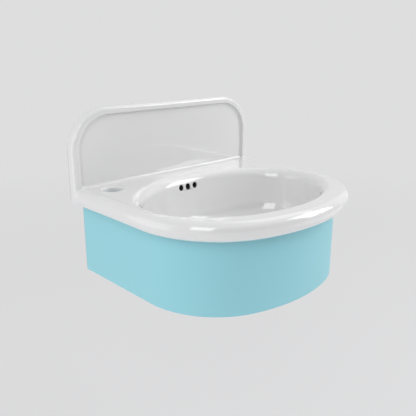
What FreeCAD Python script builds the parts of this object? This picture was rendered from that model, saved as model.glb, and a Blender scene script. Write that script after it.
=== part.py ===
import FreeCAD, Part
import math
import os

import Sketcher
from FreeCAD import Placement, Rotation, Vector

# Wall-hung hand basin with a coloured skirt and a push-open waste, in millimetres.
# X runs along the wall, +Y goes into the wall, Z is up.
# The origin is on the wall face, at mid-width, level with the tap deck.

SIZES = [
    ("width", 450, "overall width of rim and back panel"),
    ("rim_depth", 388, "wall to the front of the rim"),
    ("rim_corner_radius", 174, "plan radius of the rim's front corners"),
    ("rim_front_radius", 338, "plan radius of the rim's front"),
    ("rim_drop", 32.5, "deck to the underside of the rim's lip"),
    ("rim_top_radius", 16, "round on the rim's outer top edge"),
    ("rim_bottom_radius", 17, "round on the rim's outer bottom edge"),
    ("bead_height", 1, "rim bead above the deck"),
    ("deck_thickness", 12, "ceramic deck"),
    ("back_height", 145, "deck to the top of the back panel"),
    ("back_thickness", 20, "back panel at its border"),
    ("back_corner_radius", 78, "top corners of the back panel"),
    ("back_edge_radius", 7, "round on the border's outer edge"),
    ("border_width", 14, "raised border of the panel and side bead of the deck"),
    ("panel_thickness", 14, "back panel inside its border"),
    ("crease_radius", 6, "hollow round between panel and deck"),
    ("front_ledge", 30, "front of the rim to the bowl's lip"),
    ("back_ledge", 48, "wall to the bowl's lip"),
    ("lip_radius", 22, "rolled lip of the bowl"),
    ("lip_sweep", 84, "angle that the rolled lip turns through"),
    ("lip_rise", 0.3, "crest of the lip's roll above the bead"),
    ("bowl_depth", 107.3, "crest of the lip's roll to the floor of the bowl"),
    ("bowl_wall", 10, "ceramic wall of the bowl"),
    ("tap_margin", 57, "tap hole to the side of the rim"),
    ("tap_setback", 52, "tap hole to the wall"),
    ("tap_hole_radius", 17.5, "tap hole"),
    ("tap_lip_radius", 3, "glazed round at the tap hole"),
    ("overflow_radius", 5.5, "overflow hole"),
    ("overflow_pitch", 18, "overflow hole to overflow hole"),
    ("overflow_drop", 21.5, "deck to the overflow holes"),
    ("duct_width", 54, "overflow duct, inside width"),
    ("duct_depth", 14, "overflow duct, inside depth"),
    ("duct_setback", 40, "wall to the overflow duct"),
    ("duct_wall", 7, "ceramic around the overflow duct"),
    ("link_radius", 8, "overflow passage into the waste hole"),
    ("link_drop", 20, "bowl floor to the overflow passage"),
    ("waste_hole_radius", 23, "hole for the waste"),
    ("boss_radius", 38, "ceramic boss around the waste hole"),
    ("boss_height", 34, "bowl floor to the underside of the boss"),
    ("apron_gap", 29, "side of the wall apron to the skirt"),
    ("apron_thickness", 14, "wall apron"),
    ("apron_drop", 108, "deck to the foot of the wall apron"),
    ("rib_gap", 45, "bowl rib to the wall bolt"),
    ("rib_thickness", 12, "bowl rib"),
    ("rib_drop", 86, "deck to the foot of the bowl rib"),
    ("bolt_margin", 30, "wall bolt to the side of the wall apron"),
    ("bolt_drop", 62, "deck to the wall bolts"),
    ("bolt_bore_radius", 5.5, "clear bore for a wall bolt"),
    ("bush_wall", 2, "nylon bush around a wall bolt"),
    ("bush_flange_radius", 14, "flange of the bush"),
    ("bush_flange", 3, "thickness of the bush flange"),
    ("bush_clearance", 0.2, "bush to its hole, on the radius"),
    ("skirt_inset", 24, "side of the rim to the skirt"),
    ("skirt_front_inset", 26, "front of the rim to the skirt"),
    ("skirt_drop", 165, "deck to the bottom edge of the skirt"),
    ("skirt_sheet", 2, "thickness of the skirt's sheet"),
    ("lip_gap", 2.5, "skirt to the inner face of the rim's lip"),
    ("channel_gap", 0.6, "edge trim to the bowl beside it"),
    ("trim_wall", 1.2, "edge trim beside the sheet"),
    ("trim_web", 2, "edge trim above the sheet"),
    ("trim_height", 10, "edge trim from top to bottom"),
    ("bracket_sheet", 2, "steel of the skirt brackets"),
    ("bracket_height", 54, "skirt bracket from top to bottom"),
    ("bracket_reach", 84, "skirt bracket along the skirt, from the apron"),
    ("bracket_margin", 18, "bracket edge beyond the bolt hole's centre"),
    ("stud_radius", 2.5, "weld stud"),
    ("stud_length", 16, "weld stud from the skirt"),
    ("stud_spread", 28, "upper weld stud to lower weld stud"),
    ("stud_setback", 62, "weld stud to the bracket's wall leg"),
    ("stud_clearance", 0.3, "weld stud to its hole, on the radius"),
    ("washer_radius", 6, "washer on a weld stud"),
    ("washer_thickness", 1.2, "washer on a weld stud"),
    ("nut_hub_radius", 5, "wing nut hub"),
    ("nut_hub_height", 6, "wing nut hub"),
    ("wing_span", 24, "wing nut from tip to tip"),
    ("wing_height", 10, "wing nut wing"),
    ("wing_thickness", 2, "wing nut wing"),
    ("flange_radius", 32, "waste flange"),
    ("flange_thickness", 3, "waste flange"),
    ("flange_recess", 3, "seat of the flange in the bowl floor"),
    ("flange_seal", 1.5, "ring under the waste flange"),
    ("seat_gap", 2, "flange seat beyond the flange"),
    ("tail_radius", 20.95, "thread of the waste"),
    ("tail_bore_radius", 18.5, "bore of the waste"),
    ("tail_exposed", 28.5, "waste below its back nut"),
    ("groove_height", 1.5, "groove where the trap's thread ends"),
    ("groove_depth", 0.6, "groove where the trap's thread ends"),
    ("thread_clearance", 0.05, "thread and ring clearance, on the radius"),
    ("slot_width", 15, "overflow slot of the waste"),
    ("slot_height", 16, "overflow slot of the waste"),
    ("lower_seal", 4, "ring under the boss"),
    ("lower_seal_radius", 31, "ring under the boss"),
    ("slip_washer", 1.5, "slip washer"),
    ("back_nut", 12, "back nut"),
    ("back_nut_radius", 30, "back nut over its corners"),
    ("bridge_height", 8, "bridge across the bore of the waste"),
    ("bridge_arm", 4, "arm of the bridge"),
    ("bridge_drop", 44, "flange to the foot of the bridge"),
    ("spigot_radius", 5, "screwed spigot of the cartridge"),
    ("cartridge_radius", 8, "cartridge sleeve"),
    ("cartridge_length", 28, "cartridge sleeve above the bridge"),
    ("cartridge_floor", 2, "floor of the cartridge"),
    ("chamber_radius", 6, "spring chamber"),
    ("cartridge_cap", 4, "screwed cap of the cartridge"),
    ("spindle_radius", 3, "plug spindle"),
    ("running_clearance", 0.05, "spindle in its cap, on the radius"),
    ("collar_radius", 5.6, "stop collar of the spindle"),
    ("collar_height", 3, "stop collar of the spindle"),
    ("spindle_tail", 10, "spindle below its collar"),
    ("plug_travel", 8.8, "plug from open to closed"),
    ("closed_gap", 0.2, "seal above the flange when closed"),
    ("plug_radius", 31, "plug cap"),
    ("plug_edge", 2, "plug cap at its edge"),
    ("plug_crown", 4, "dome of the plug cap"),
    ("plug_socket_radius", 6, "screwed socket under the plug cap"),
    ("plug_socket", 6, "screwed socket under the plug cap"),
    ("seal_outer_radius", 29, "ring under the plug cap"),
    ("seal_inner_radius", 24, "ring under the plug cap"),
    ("seal_height", 2, "ring under the plug cap"),
    ("spring_radius", 4.4, "spring, to the middle of its wire"),
    ("spring_wire_radius", 0.55, "spring wire"),
    ("spring_turns", 6, "turns of the spring"),
    ("spring_clearance", 0.1, "spring to its seats"),
]

DERIVED = [
    ("bowl_centre", "(rim_depth - front_ledge + back_ledge) / 2", "wall to the middle of bowl and waste"),
    ("lip_half_depth", "(rim_depth - front_ledge - back_ledge) / 2", "half the lip's depth"),
    ("tap_offset", "width / 2 - tap_margin", "tap hole to mid-width"),
    ("skirt_width", "width - 2 * skirt_inset", "outside width of the skirt"),
    ("skirt_depth", "rim_depth - skirt_front_inset", "wall to the front of the skirt"),
    ("skirt_corner_radius", "rim_corner_radius - skirt_inset", "plan radius of the skirt's corners"),
    ("skirt_front_radius", "rim_front_radius - skirt_inset", "plan radius of the skirt's front"),
    ("apron_width", "skirt_width - 2 * (skirt_sheet + apron_gap)", "wall apron under the deck"),
    ("bolt_spacing", "apron_width - 2 * bolt_margin", "wall bolt to wall bolt"),
    ("rib_offset", "bolt_spacing / 2 - rib_gap", "bowl rib to mid-width"),
    ("floor_drop", "bowl_depth - bead_height - lip_rise", "deck to the floor of the bowl"),
    ("nut_drop", "floor_drop + boss_height + lower_seal + slip_washer + back_nut", "deck to back nut foot"),
    ("tail_drop", "nut_drop + tail_exposed", "deck to the end of the waste"),
]

PROFILE_STEPS = 200
BOWL_STATIONS = 22
CUT_MARGIN = 5.0

ALONG_WALL = Rotation(Vector(0, 1, 0), 90)
OUT_OF_WALL = Rotation(Vector(1, 0, 0), 90)
UPRIGHT = Rotation()

doc = FreeCAD.newDocument("hand_basin")
sheet = doc.addObject("Spreadsheet::Sheet", "size")
ROWS = [(alias, str(number), note) for alias, number, note in SIZES]
ROWS += [(alias, "=" + formula, note) for alias, formula, note in DERIVED]
for row, (alias, content, note) in enumerate(ROWS, start=1):
    sheet.set("A%d" % row, note)
    sheet.set("B%d" % row, content)
    sheet.setAlias("B%d" % row, alias)
doc.recompute()


def value(text):
    """Number that a sheet expression stands for."""
    return float(sheet.evalExpression(text))


def bind(thing, **sizes):
    """Ties properties to sheet expressions; a double underscore stands for a dot."""
    for name, text in sizes.items():
        thing.setExpression(name.replace("__", "."), text)


def place(thing, x="0", y="0", z="0", turn=UPRIGHT):
    """Puts a primitive at a point given by sheet expressions."""
    thing.Placement = Placement(Vector(), turn)
    bind(thing, Placement__Base__x=x, Placement__Base__y=y, Placement__Base__z=z)
    return thing


def cylinder(name, radius, height, x="0", y="0", z="0", turn=UPRIGHT):
    thing = doc.addObject("Part::Cylinder", name)
    bind(thing, Radius=radius, Height=height)
    return place(thing, x, y, z, turn)


def block(name, length, width, height, x="0", y="0", z="0", turn=UPRIGHT):
    thing = doc.addObject("Part::Box", name)
    bind(thing, Length=length, Width=width, Height=height)
    return place(thing, x, y, z, turn)


def fuse(name, *pieces):
    thing = doc.addObject("Part::MultiFuse", name)
    thing.Shapes = list(pieces)
    thing.Refine = True
    return thing


def cut(name, base, *tools):
    """Takes one or more tools away from a base."""
    thing = doc.addObject("Part::Cut", name)
    thing.Base = base
    thing.Tool = tools[0] if len(tools) == 1 else fuse(name + "_tools", *tools)
    thing.Refine = True
    return thing


def group(name, pieces):
    thing = doc.addObject("Part::Compound", name)
    thing.Links = list(pieces)
    return thing


def ring(name, outer, inner, height, x="0", y="0", z="0", turn=UPRIGHT):
    """Washer or sleeve with a round bore."""
    outside = cylinder(name + "_outside", outer, height, x, y, z, turn)
    inside = cylinder(name + "_inside", inner, height, x, y, z, turn)
    return cut(name, outside, inside)


def origin_plane(body, role):
    return next(plane for plane in body.Origin.OriginFeatures if plane.Role == role)


def new_sketch(body, name, role, offset="0"):
    sketch = body.newObject("Sketcher::SketchObject", name)
    sketch.AttachmentSupport = [(origin_plane(body, role), "")]
    sketch.MapMode = "FlatFace"
    bind(sketch, AttachmentOffset__Base__z=offset)
    return sketch


def hold(sketch, kind, places, text):
    """Adds a dimension to a sketch and ties it to a sheet expression."""
    index = sketch.addConstraint(Sketcher.Constraint(kind, *places, value(text)))
    sketch.setExpression("Constraints[%d]" % index, text)


def pad(body, sketch, length):
    feature = body.newObject("PartDesign::Pad", sketch.Name + "_pad")
    feature.Profile = sketch
    bind(feature, Length=length)
    return feature


def arc(centre, radius, start, end):
    circle = Part.Circle(Vector(centre[0], centre[1], 0), Vector(0, 0, 1), radius)
    return Part.ArcOfCircle(circle, start, end)


def segment(start, end):
    return Part.LineSegment(Vector(start[0], start[1], 0), Vector(end[0], end[1], 0))


def bow_outline(body, name, half_width, depth, corner, front, z, back="0"):
    """Sketch with straight sides, round corners and a bowed front, open end at the wall."""
    half = value(half_width)
    corner_r = value(corner)
    front_r = value(front)
    rear = value(back)
    corner_x = half - corner_r
    front_y = front_r - value(depth)
    corner_y = front_y - math.sqrt((front_r - corner_r) ** 2 - corner_x ** 2)
    bend = math.atan2(corner_x, front_y - corner_y)
    down = -math.pi / 2
    sketch = new_sketch(body, name, "XY_Plane", z)
    sketch.addGeometry([
        segment((half, rear), (half, corner_y)),
        arc((corner_x, corner_y), corner_r, down + bend, 0),
        arc((0, front_y), front_r, down - bend, down + bend),
        arc((-corner_x, corner_y), corner_r, math.pi, down - bend + 2 * math.pi),
        segment((-half, corner_y), (-half, rear)),
        segment((-half, rear), (half, rear)),
    ])
    for constraint in [
        ("Tangent", 0, 2, 1, 2),
        ("Tangent", 1, 1, 2, 2),
        ("Tangent", 2, 1, 3, 2),
        ("Tangent", 3, 1, 4, 1),
        ("Coincident", 4, 2, 5, 1),
        ("Coincident", 5, 2, 0, 1),
        ("Horizontal", 5),
        ("Vertical", 0),
        ("Vertical", 4),
        ("PointOnObject", 2, 3, -2),
        ("Equal", 1, 3),
    ]:
        sketch.addConstraint(Sketcher.Constraint(*constraint))
    hold(sketch, "Radius", (1,), corner)
    hold(sketch, "Radius", (2,), front)
    hold(sketch, "DistanceX", (-1, 1, 0, 1), half_width)
    hold(sketch, "DistanceY", (2, 3, -1, 1), "%s - (%s)" % (depth, front))
    hold(sketch, "DistanceY", (-1, 1, 0, 1), back)
    return sketch


def bow_prism(name, half_width, depth, corner, front, z, height, back="0"):
    body = doc.addObject("PartDesign::Body", name)
    outline = bow_outline(body, name + "_outline", half_width, depth, corner, front, z, back)
    pad(body, outline, height)
    return body


def skirt_prism(name, outset, z, height, back="0"):
    """Prism with the skirt's outline moved out by an amount."""
    return bow_prism(
        name,
        "size.skirt_width / 2 + (%s)" % outset,
        "size.skirt_depth + (%s)" % outset,
        "size.skirt_corner_radius + (%s)" % outset,
        "size.skirt_front_radius + (%s)" % outset,
        z, height, back,
    )


def arch_prism(name, half_width, bottom, top, corner, setback, thickness):
    """Upright plate parallel to the wall, with round top corners."""
    half = value(half_width)
    low = value(bottom)
    high = value(top)
    radius = value(corner)
    body = doc.addObject("PartDesign::Body", name)
    sketch = new_sketch(body, name + "_outline", "XZ_Plane", setback)
    sketch.addGeometry([
        segment((half, low), (half, high - radius)),
        arc((half - radius, high - radius), radius, 0, math.pi / 2),
        segment((half - radius, high), (radius - half, high)),
        arc((radius - half, high - radius), radius, math.pi / 2, math.pi),
        segment((-half, high - radius), (-half, low)),
        segment((-half, low), (half, low)),
    ])
    for constraint in [
        ("Tangent", 0, 2, 1, 1),
        ("Tangent", 1, 2, 2, 1),
        ("Tangent", 2, 2, 3, 1),
        ("Tangent", 3, 2, 4, 1),
        ("Coincident", 4, 2, 5, 1),
        ("Coincident", 5, 2, 0, 1),
        ("Horizontal", 2),
        ("Vertical", 0),
        ("Vertical", 4),
        ("Equal", 1, 3),
        ("Symmetric", 0, 1, 5, 1, -2),
    ]:
        sketch.addConstraint(Sketcher.Constraint(*constraint))
    hold(sketch, "Radius", (1,), corner)
    hold(sketch, "DistanceX", (-1, 1, 0, 1), half_width)
    hold(sketch, "DistanceY", (-1, 1, 0, 1), bottom)
    hold(sketch, "DistanceY", (-1, 1, 2, 1), top)
    pad(body, sketch, thickness)
    return body


def edge_names(shape, test):
    """Names of the edges whose every end and middle point passes a test."""
    names = []
    for index, edge in enumerate(shape.Edges, start=1):
        middle = edge.valueAt((edge.FirstParameter + edge.LastParameter) / 2)
        points = [vertex.Point for vertex in edge.Vertexes] + [middle]
        if all(test(point) for point in points):
            names.append("Edge%d" % index)
    return names


def close(first, second):
    return abs(first - second) < 1e-4


def round_body(body, name, radius, test):
    """Fillet on those edges of a body that pass a test."""
    doc.recompute()
    base = body.Tip
    fillet = body.newObject("PartDesign::Fillet", name)
    fillet.Base = (base, edge_names(base.Shape, test))
    bind(fillet, Radius=radius)
    doc.recompute()


def round_part(name, base, radius, test):
    """Fillet on those edges of a boolean that pass a test."""
    doc.recompute()
    size_number = value(radius)
    thing = doc.addObject("Part::Fillet", name)
    thing.Base = base
    thing.Edges = [(int(edge[4:]), size_number, size_number) for edge in edge_names(base.Shape, test)]
    return thing


def rim_slab():
    """Solid rim and deck with a rolled outer edge."""
    body = bow_prism(
        "rim_slab", "size.width / 2", "size.rim_depth", "size.rim_corner_radius",
        "size.rim_front_radius", "-size.rim_drop", "size.rim_drop + size.bead_height",
    )
    top = value("size.bead_height")
    bottom = value("-size.rim_drop")
    round_body(body, "rim_top_round", "size.rim_top_radius",
               lambda p: close(p.z, top) and not (close(p.y, 0) and abs(p.x) < value("size.width / 4")))
    round_body(body, "rim_bottom_round", "size.rim_bottom_radius",
               lambda p: close(p.z, bottom) and not (close(p.y, 0) and abs(p.x) < value("size.width / 4")))
    return body


def back_plate():
    """Back panel down to the foot of the rim, with its front edge rounded."""
    body = arch_prism(
        "back_plate", "size.width / 2", "-size.rim_drop", "size.back_height",
        "size.back_corner_radius", "0", "size.back_thickness",
    )
    half = value("size.width / 2")
    foot = value("-size.rim_drop")
    front = value("-size.back_thickness")
    round_body(body, "plate_foot_round", "size.rim_bottom_radius",
               lambda p: close(abs(p.x), half) and close(p.z, foot))
    round_body(body, "plate_edge_round", "size.back_edge_radius",
               lambda p: close(p.y, front) and not (close(p.z, foot) and abs(p.x) < half / 2))
    return body


def panel_and_deck_tool():
    """Air in front of the panel and above the deck, with the hollow round between them."""
    half = "size.width / 2 - size.border_width"
    panel = arch_prism(
        "panel_recess", half, "0", "size.back_height - size.border_width",
        "size.back_corner_radius - size.border_width", "size.panel_thickness",
        "size.back_thickness + %g" % CUT_MARGIN,
    )
    deck = block(
        "deck_recess", "2 * (%s)" % half, "size.bowl_centre - size.panel_thickness",
        "size.bead_height + %g" % CUT_MARGIN, "-(%s)" % half, "-size.bowl_centre", "0",
    )
    air = fuse("deck_air", panel, deck)
    wall_line = value("-size.panel_thickness")
    return round_part("deck_air_round", air, "size.crease_radius",
                      lambda p: close(p.y, wall_line) and close(p.z, 0))


def bowl_section(inset_x, inset_y, height):
    """Horizontal ellipse of the bowl, as far inside the lip as the insets say."""
    middle = Vector(0, -value("size.bowl_centre"), height)
    half_x = value("size.width / 2 - size.border_width") - inset_x
    half_y = value("size.lip_half_depth") - inset_y
    if half_x - half_y < 1e-6:
        return Part.Wire(Part.Circle(middle, Vector(0, 0, 1), half_y).toShape())
    long_end = middle + Vector(half_x, 0, 0)
    short_end = middle + Vector(0, half_y, 0)
    return Part.Wire(Part.Ellipse(long_end, short_end, middle).toShape())


def bowl_stations():
    """Insets in X and Y, drop and slope: a rolled lip, then a steep wall that turns into the floor."""
    radius = value("size.lip_radius")
    sweep = math.radians(value("size.lip_sweep"))
    floor = value("size.bowl_depth")
    seat = value("size.flange_radius + size.seat_gap")
    end_x = value("size.width / 2 - size.border_width") - seat
    end_y = value("size.lip_half_depth") - seat
    lip_inset = radius * math.sin(sweep)
    lip_drop = radius * (1 - math.cos(sweep))
    knee_inset = lip_inset + (floor - lip_drop) / math.tan(sweep)
    profile = []
    for step in range(PROFILE_STEPS):
        angle = sweep * step / PROFILE_STEPS
        inset = radius * math.sin(angle)
        profile.append((inset, inset, radius * (1 - math.cos(angle)), angle))
    for step in range(PROFILE_STEPS + 1):
        t = step / PROFILE_STEPS
        start, knee, end = (1 - t) ** 3, 3 * t * (1 - t), t ** 3
        inset_x = start * lip_inset + knee * knee_inset + end * end_x
        inset_y = start * lip_inset + knee * knee_inset + end * end_y
        drop = start * lip_drop + (knee + end) * floor
        slope = math.atan2((1 - t) ** 2 * (floor - lip_drop),
                           (1 - t) ** 2 * (knee_inset - lip_inset) + t ** 2 * (end_y - knee_inset))
        profile.append((inset_x, inset_y, drop, slope))
    return evenly_spaced(profile, BOWL_STATIONS)


def evenly_spaced(profile, count):
    """So many points of a profile, about the same run apart."""
    runs = [0.0]
    for before, after in zip(profile, profile[1:]):
        runs.append(runs[-1] + math.dist(before[:3], after[:3]))
    picked = []
    for step in range(count):
        wanted = runs[-1] * step / (count - 1)
        picked.append(profile[min(range(len(runs)), key=lambda spot: abs(runs[spot] - wanted))])
    return picked


def bowl_loft(name, wall):
    """Bowl moved outwards by a wall thickness, which is zero for its inside."""
    top = value("size.bead_height + size.lip_rise")
    sections = []
    for inset_x, inset_y, drop, slope in bowl_stations():
        out = wall * math.sin(slope)
        sections.append(bowl_section(inset_x - out, inset_y - out, top - drop - wall * math.cos(slope)))
    thing = doc.addObject("Part::Feature", name)
    thing.Shape = Part.makeLoft(sections, True, False)
    return thing


SIDES = [("left", -1), ("right", 1)]
FLOOR = "(-size.floor_drop)"
SEAT = "(%s - size.flange_recess)" % FLOOR
BOSS_FOOT = "(%s - size.boss_height)" % FLOOR
WASTE_Y = "-size.bowl_centre"
BOLT_HOLE = "size.bolt_bore_radius + size.bush_wall + size.bush_clearance"


def under_rim(name, outset):
    """Space under the deck inside the skirt's outline, moved out by an amount."""
    return skirt_prism(name, outset, "-size.rim_drop - %g" % CUT_MARGIN,
                       "size.rim_drop + %g - size.deck_thickness" % CUT_MARGIN, "%g" % CUT_MARGIN)


def bowl_shell():
    """Outside of the bowl, cut back where the skirt's edge trim passes it."""
    outside = bowl_loft("bowl_outside", value("size.bowl_wall"))
    kept = under_rim("channel_inside", "-size.skirt_sheet - size.trim_wall - size.channel_gap")
    channel = cut("skirt_channel", under_rim("channel_outside", "size.lip_gap"), kept)
    return cut("bowl_shell", outside, channel)


def casting():
    """Rim, panel, bowl, apron, ribs, overflow duct and waste boss as one casting, before its holes."""
    shell = fuse("shell", rim_slab(), back_plate())
    hull = cut("hull", shell, under_rim("rim_hollow", "size.lip_gap"))
    bowl = bowl_shell()
    apron = block("apron", "size.apron_width", "size.apron_thickness", "size.apron_drop",
                  "-size.apron_width / 2", "-size.apron_thickness", "-size.apron_drop")
    ribs = [
        block("rib_%s" % side, "size.rib_thickness", "size.bowl_centre / 2", "size.rib_drop",
              "%d * size.rib_offset - size.rib_thickness / 2" % sign,
              "-size.bowl_centre / 2", "-size.rib_drop")
        for side, sign in SIDES
    ]
    duct = block("duct", "size.duct_width + 2 * size.duct_wall",
                 "size.bowl_centre / 2 - size.duct_setback + size.duct_wall",
                 "size.boss_height - %s" % FLOOR, "-size.duct_width / 2 - size.duct_wall",
                 "-size.bowl_centre / 2", BOSS_FOOT)
    link = block("link", "2 * (size.link_radius + size.duct_wall)",
                 "size.bowl_centre - size.duct_setback + size.duct_wall", "size.boss_height",
                 "-size.link_radius - size.duct_wall", WASTE_Y, BOSS_FOOT)
    boss = cylinder("boss", "size.boss_radius", "size.boss_height", "0", WASTE_Y, BOSS_FOOT)
    return fuse("casting", hull, bowl, apron, *ribs, duct, link, boss)


def basin_holes():
    """Tools for every hole and passage of the casting."""
    link_z = "%s - size.link_drop" % FLOOR
    tools = [
        panel_and_deck_tool(),
        bowl_loft("bowl_inside", 0.0),
        cylinder("tap_hole", "size.tap_hole_radius", "3 * size.deck_thickness",
                 "-size.tap_offset", "-size.tap_setback", "-2 * size.deck_thickness"),
        cylinder("waste_hole", "size.waste_hole_radius", "2 * size.boss_height",
                 "0", WASTE_Y, "%s - 1.5 * size.boss_height" % FLOOR),
        cylinder("flange_seat", "size.flange_radius + size.seat_gap",
                 "size.flange_recess + %g" % CUT_MARGIN, "0", WASTE_Y, SEAT),
        block("duct_passage", "size.duct_width", "size.duct_depth",
              "-%s + size.link_drop + size.link_radius - size.deck_thickness" % FLOOR,
              "-size.duct_width / 2", "-size.duct_setback - size.duct_depth",
              "%s - size.link_radius" % link_z),
        cylinder("link_passage", "size.link_radius",
                 "size.bowl_centre - size.duct_setback - size.duct_depth / 2",
                 "0", "-size.duct_setback - size.duct_depth / 2", link_z, OUT_OF_WALL),
    ]
    for step in (-1, 0, 1):
        tools.append(cylinder(
            "overflow_hole_%d" % (step + 2), "size.overflow_radius", "size.duct_setback",
            "%d * size.overflow_pitch" % step, "-size.duct_setback - size.duct_depth / 2",
            "-size.overflow_drop", OUT_OF_WALL))
    for side, sign in SIDES:
        tools.append(cylinder(
            "bolt_hole_%s" % side, BOLT_HOLE, "size.apron_thickness + %g" % (2 * CUT_MARGIN),
            "%d * size.bolt_spacing / 2" % sign, "%g" % CUT_MARGIN, "-size.bolt_drop", OUT_OF_WALL))
    return tools


def make_basin():
    drilled = cut("basin_drilled", casting(), *basin_holes())
    centre = Vector(-value("size.tap_offset"), -value("size.tap_setback"), 0)
    radius = value("size.tap_hole_radius")
    return round_part("basin", drilled, "size.tap_lip_radius",
                      lambda p: close(p.z, 0) and close(p.distanceToPoint(centre), radius))


SKIRT_TOP = "(-size.deck_thickness - size.trim_web)"


def make_skirt():
    outside = skirt_prism("skirt_outside", "0", "-size.skirt_drop", "size.skirt_drop + %s" % SKIRT_TOP)
    inside = skirt_prism("skirt_inside", "-size.skirt_sheet", "-size.skirt_drop - %g" % CUT_MARGIN,
                         "size.skirt_drop", "%g" % CUT_MARGIN)
    return cut("skirt", outside, inside)


def make_edge_trim():
    """Soft U profile pushed on to the skirt's top edge."""
    foot = "-size.deck_thickness - size.trim_height"
    outside = skirt_prism("trim_outside", "size.trim_wall", foot, "size.trim_height")
    inside = skirt_prism("trim_inside", "-size.skirt_sheet - size.trim_wall",
                         "%s - %g" % (foot, CUT_MARGIN),
                         "size.trim_height + %g" % (2 * CUT_MARGIN), "%g" % CUT_MARGIN)
    band = cut("trim_band", outside, inside)
    slot_outside = skirt_prism("slot_outside", "0", "%s - %g" % (foot, CUT_MARGIN),
                               "size.trim_height - size.trim_web + %g" % CUT_MARGIN, "%g" % CUT_MARGIN)
    slot_inside = skirt_prism("slot_inside", "-size.skirt_sheet", "%s - %g" % (foot, 2 * CUT_MARGIN),
                              "size.trim_height + %g" % (3 * CUT_MARGIN), "%g" % (2 * CUT_MARGIN))
    return cut("skirt_edge_trim", band, cut("trim_slot", slot_outside, slot_inside))


SKIRT_FACE = "(size.skirt_width / 2 - size.skirt_sheet)"
STUD_Y = "-(size.apron_thickness + size.stud_setback)"
STUD_HEIGHTS = [
    ("upper", "-size.bolt_drop + size.stud_spread / 2"),
    ("lower", "-size.bolt_drop - size.stud_spread / 2"),
]


def make_bracket(side, sign):
    """Steel angle held by a wall bolt, with one leg along the inside of the skirt."""
    name = "skirt_bracket_%s" % side
    foot = "-size.bolt_drop - size.bracket_height / 2"
    leg = "%s - size.bolt_spacing / 2 + size.bracket_margin" % SKIRT_FACE
    leg_x = "size.bolt_spacing / 2 - size.bracket_margin" if sign > 0 else "-%s" % SKIRT_FACE
    side_x = "%s - size.bracket_sheet" % SKIRT_FACE if sign > 0 else "-%s" % SKIRT_FACE
    wall_leg = block(name + "_wall_leg", leg, "size.bracket_sheet", "size.bracket_height",
                     leg_x, "-size.apron_thickness - size.bracket_sheet", foot)
    side_leg = block(name + "_side_leg", "size.bracket_sheet", "size.bracket_reach", "size.bracket_height",
                     side_x, "-size.apron_thickness - size.bracket_reach", foot)
    holes = [cylinder(name + "_bolt_hole", BOLT_HOLE, "4 * size.bracket_sheet",
                      "%d * size.bolt_spacing / 2" % sign,
                      "-size.apron_thickness + size.bracket_sheet", "-size.bolt_drop", OUT_OF_WALL)]
    hole_x = "%d * %s - 2 * size.bracket_sheet" % (sign, SKIRT_FACE)
    for level, z in STUD_HEIGHTS:
        holes.append(cylinder("%s_%s_hole" % (name, level), "size.stud_radius + size.stud_clearance",
                              "4 * size.bracket_sheet", hole_x, STUD_Y, z, ALONG_WALL))
    return cut(name, fuse(name + "_angle", wall_leg, side_leg), *holes)


def along_stud(sign, distance, length):
    """X of a cylinder that starts at a distance inside the skirt's face and runs inwards."""
    if sign < 0:
        return "-%s + (%s)" % (SKIRT_FACE, distance)
    return "%s - (%s) - (%s)" % (SKIRT_FACE, distance, length)


def stud_sets():
    """Weld studs, washers and wing nuts that hold the skirt on its brackets."""
    studs, washers, nuts = [], [], []
    for side, sign in SIDES:
        for level, z in STUD_HEIGHTS:
            tag = "%s_%s" % (side, level)
            studs.append(cylinder("stud_" + tag, "size.stud_radius", "size.stud_length",
                                  along_stud(sign, "0", "size.stud_length"), STUD_Y, z, ALONG_WALL))
            washers.append(ring("washer_" + tag, "size.washer_radius",
                                "size.stud_radius + size.stud_clearance", "size.washer_thickness",
                                along_stud(sign, "size.bracket_sheet", "size.washer_thickness"),
                                STUD_Y, z, ALONG_WALL))
            nuts.append(wing_nut(tag, sign, z))
    return (group("skirt_weld_studs", studs), group("skirt_stud_washers", washers),
            group("skirt_wing_nuts", nuts))


def wing_nut(tag, sign, z):
    seat = "size.bracket_sheet + size.washer_thickness"
    hub = cylinder("hub_" + tag, "size.nut_hub_radius", "size.nut_hub_height",
                   along_stud(sign, seat, "size.nut_hub_height"), STUD_Y, z, ALONG_WALL)
    lift = "size.nut_hub_height / 3"
    wings = block("wings_" + tag, "size.wing_height", "size.wing_span", "size.wing_thickness",
                  along_stud(sign, "%s + %s" % (seat, lift), "size.wing_height"),
                  "%s - size.wing_span / 2" % STUD_Y, "%s - size.wing_thickness / 2" % z)
    notch_x = along_stud(sign, "%s + size.nut_hub_height" % seat, "size.wing_height")
    notch = cylinder("notch_" + tag, "size.nut_hub_radius", "size.wing_height",
                     notch_x, STUD_Y, z, ALONG_WALL)
    thread = cylinder("thread_" + tag, "size.stud_radius + size.thread_clearance", "size.stud_length",
                      along_stud(sign, "0", "size.stud_length"), STUD_Y, z, ALONG_WALL)
    return cut("nut_" + tag, fuse("nut_blank_" + tag, hub, wings), notch, thread)


def make_bushes():
    """Flanged nylon bushes that keep the wall bolts off the ceramic."""
    bushes = []
    for side, sign in SIDES:
        x = "%d * size.bolt_spacing / 2" % sign
        face = "-size.apron_thickness - size.bracket_sheet"
        sleeve = cylinder("sleeve_" + side, "size.bolt_bore_radius + size.bush_wall", "-(%s)" % face,
                          x, "0", "-size.bolt_drop", OUT_OF_WALL)
        flange = cylinder("flange_" + side, "size.bush_flange_radius", "size.bush_flange",
                          x, face, "-size.bolt_drop", OUT_OF_WALL)
        bore = cylinder("bore_" + side, "size.bolt_bore_radius",
                        "-(%s) + size.bush_flange + %g" % (face, 2 * CUT_MARGIN),
                        x, "%g" % CUT_MARGIN, "-size.bolt_drop", OUT_OF_WALL)
        bushes.append(cut("bush_" + side, fuse("bush_blank_" + side, sleeve, flange), bore))
    return group("wall_bolt_bushes", bushes)


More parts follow.
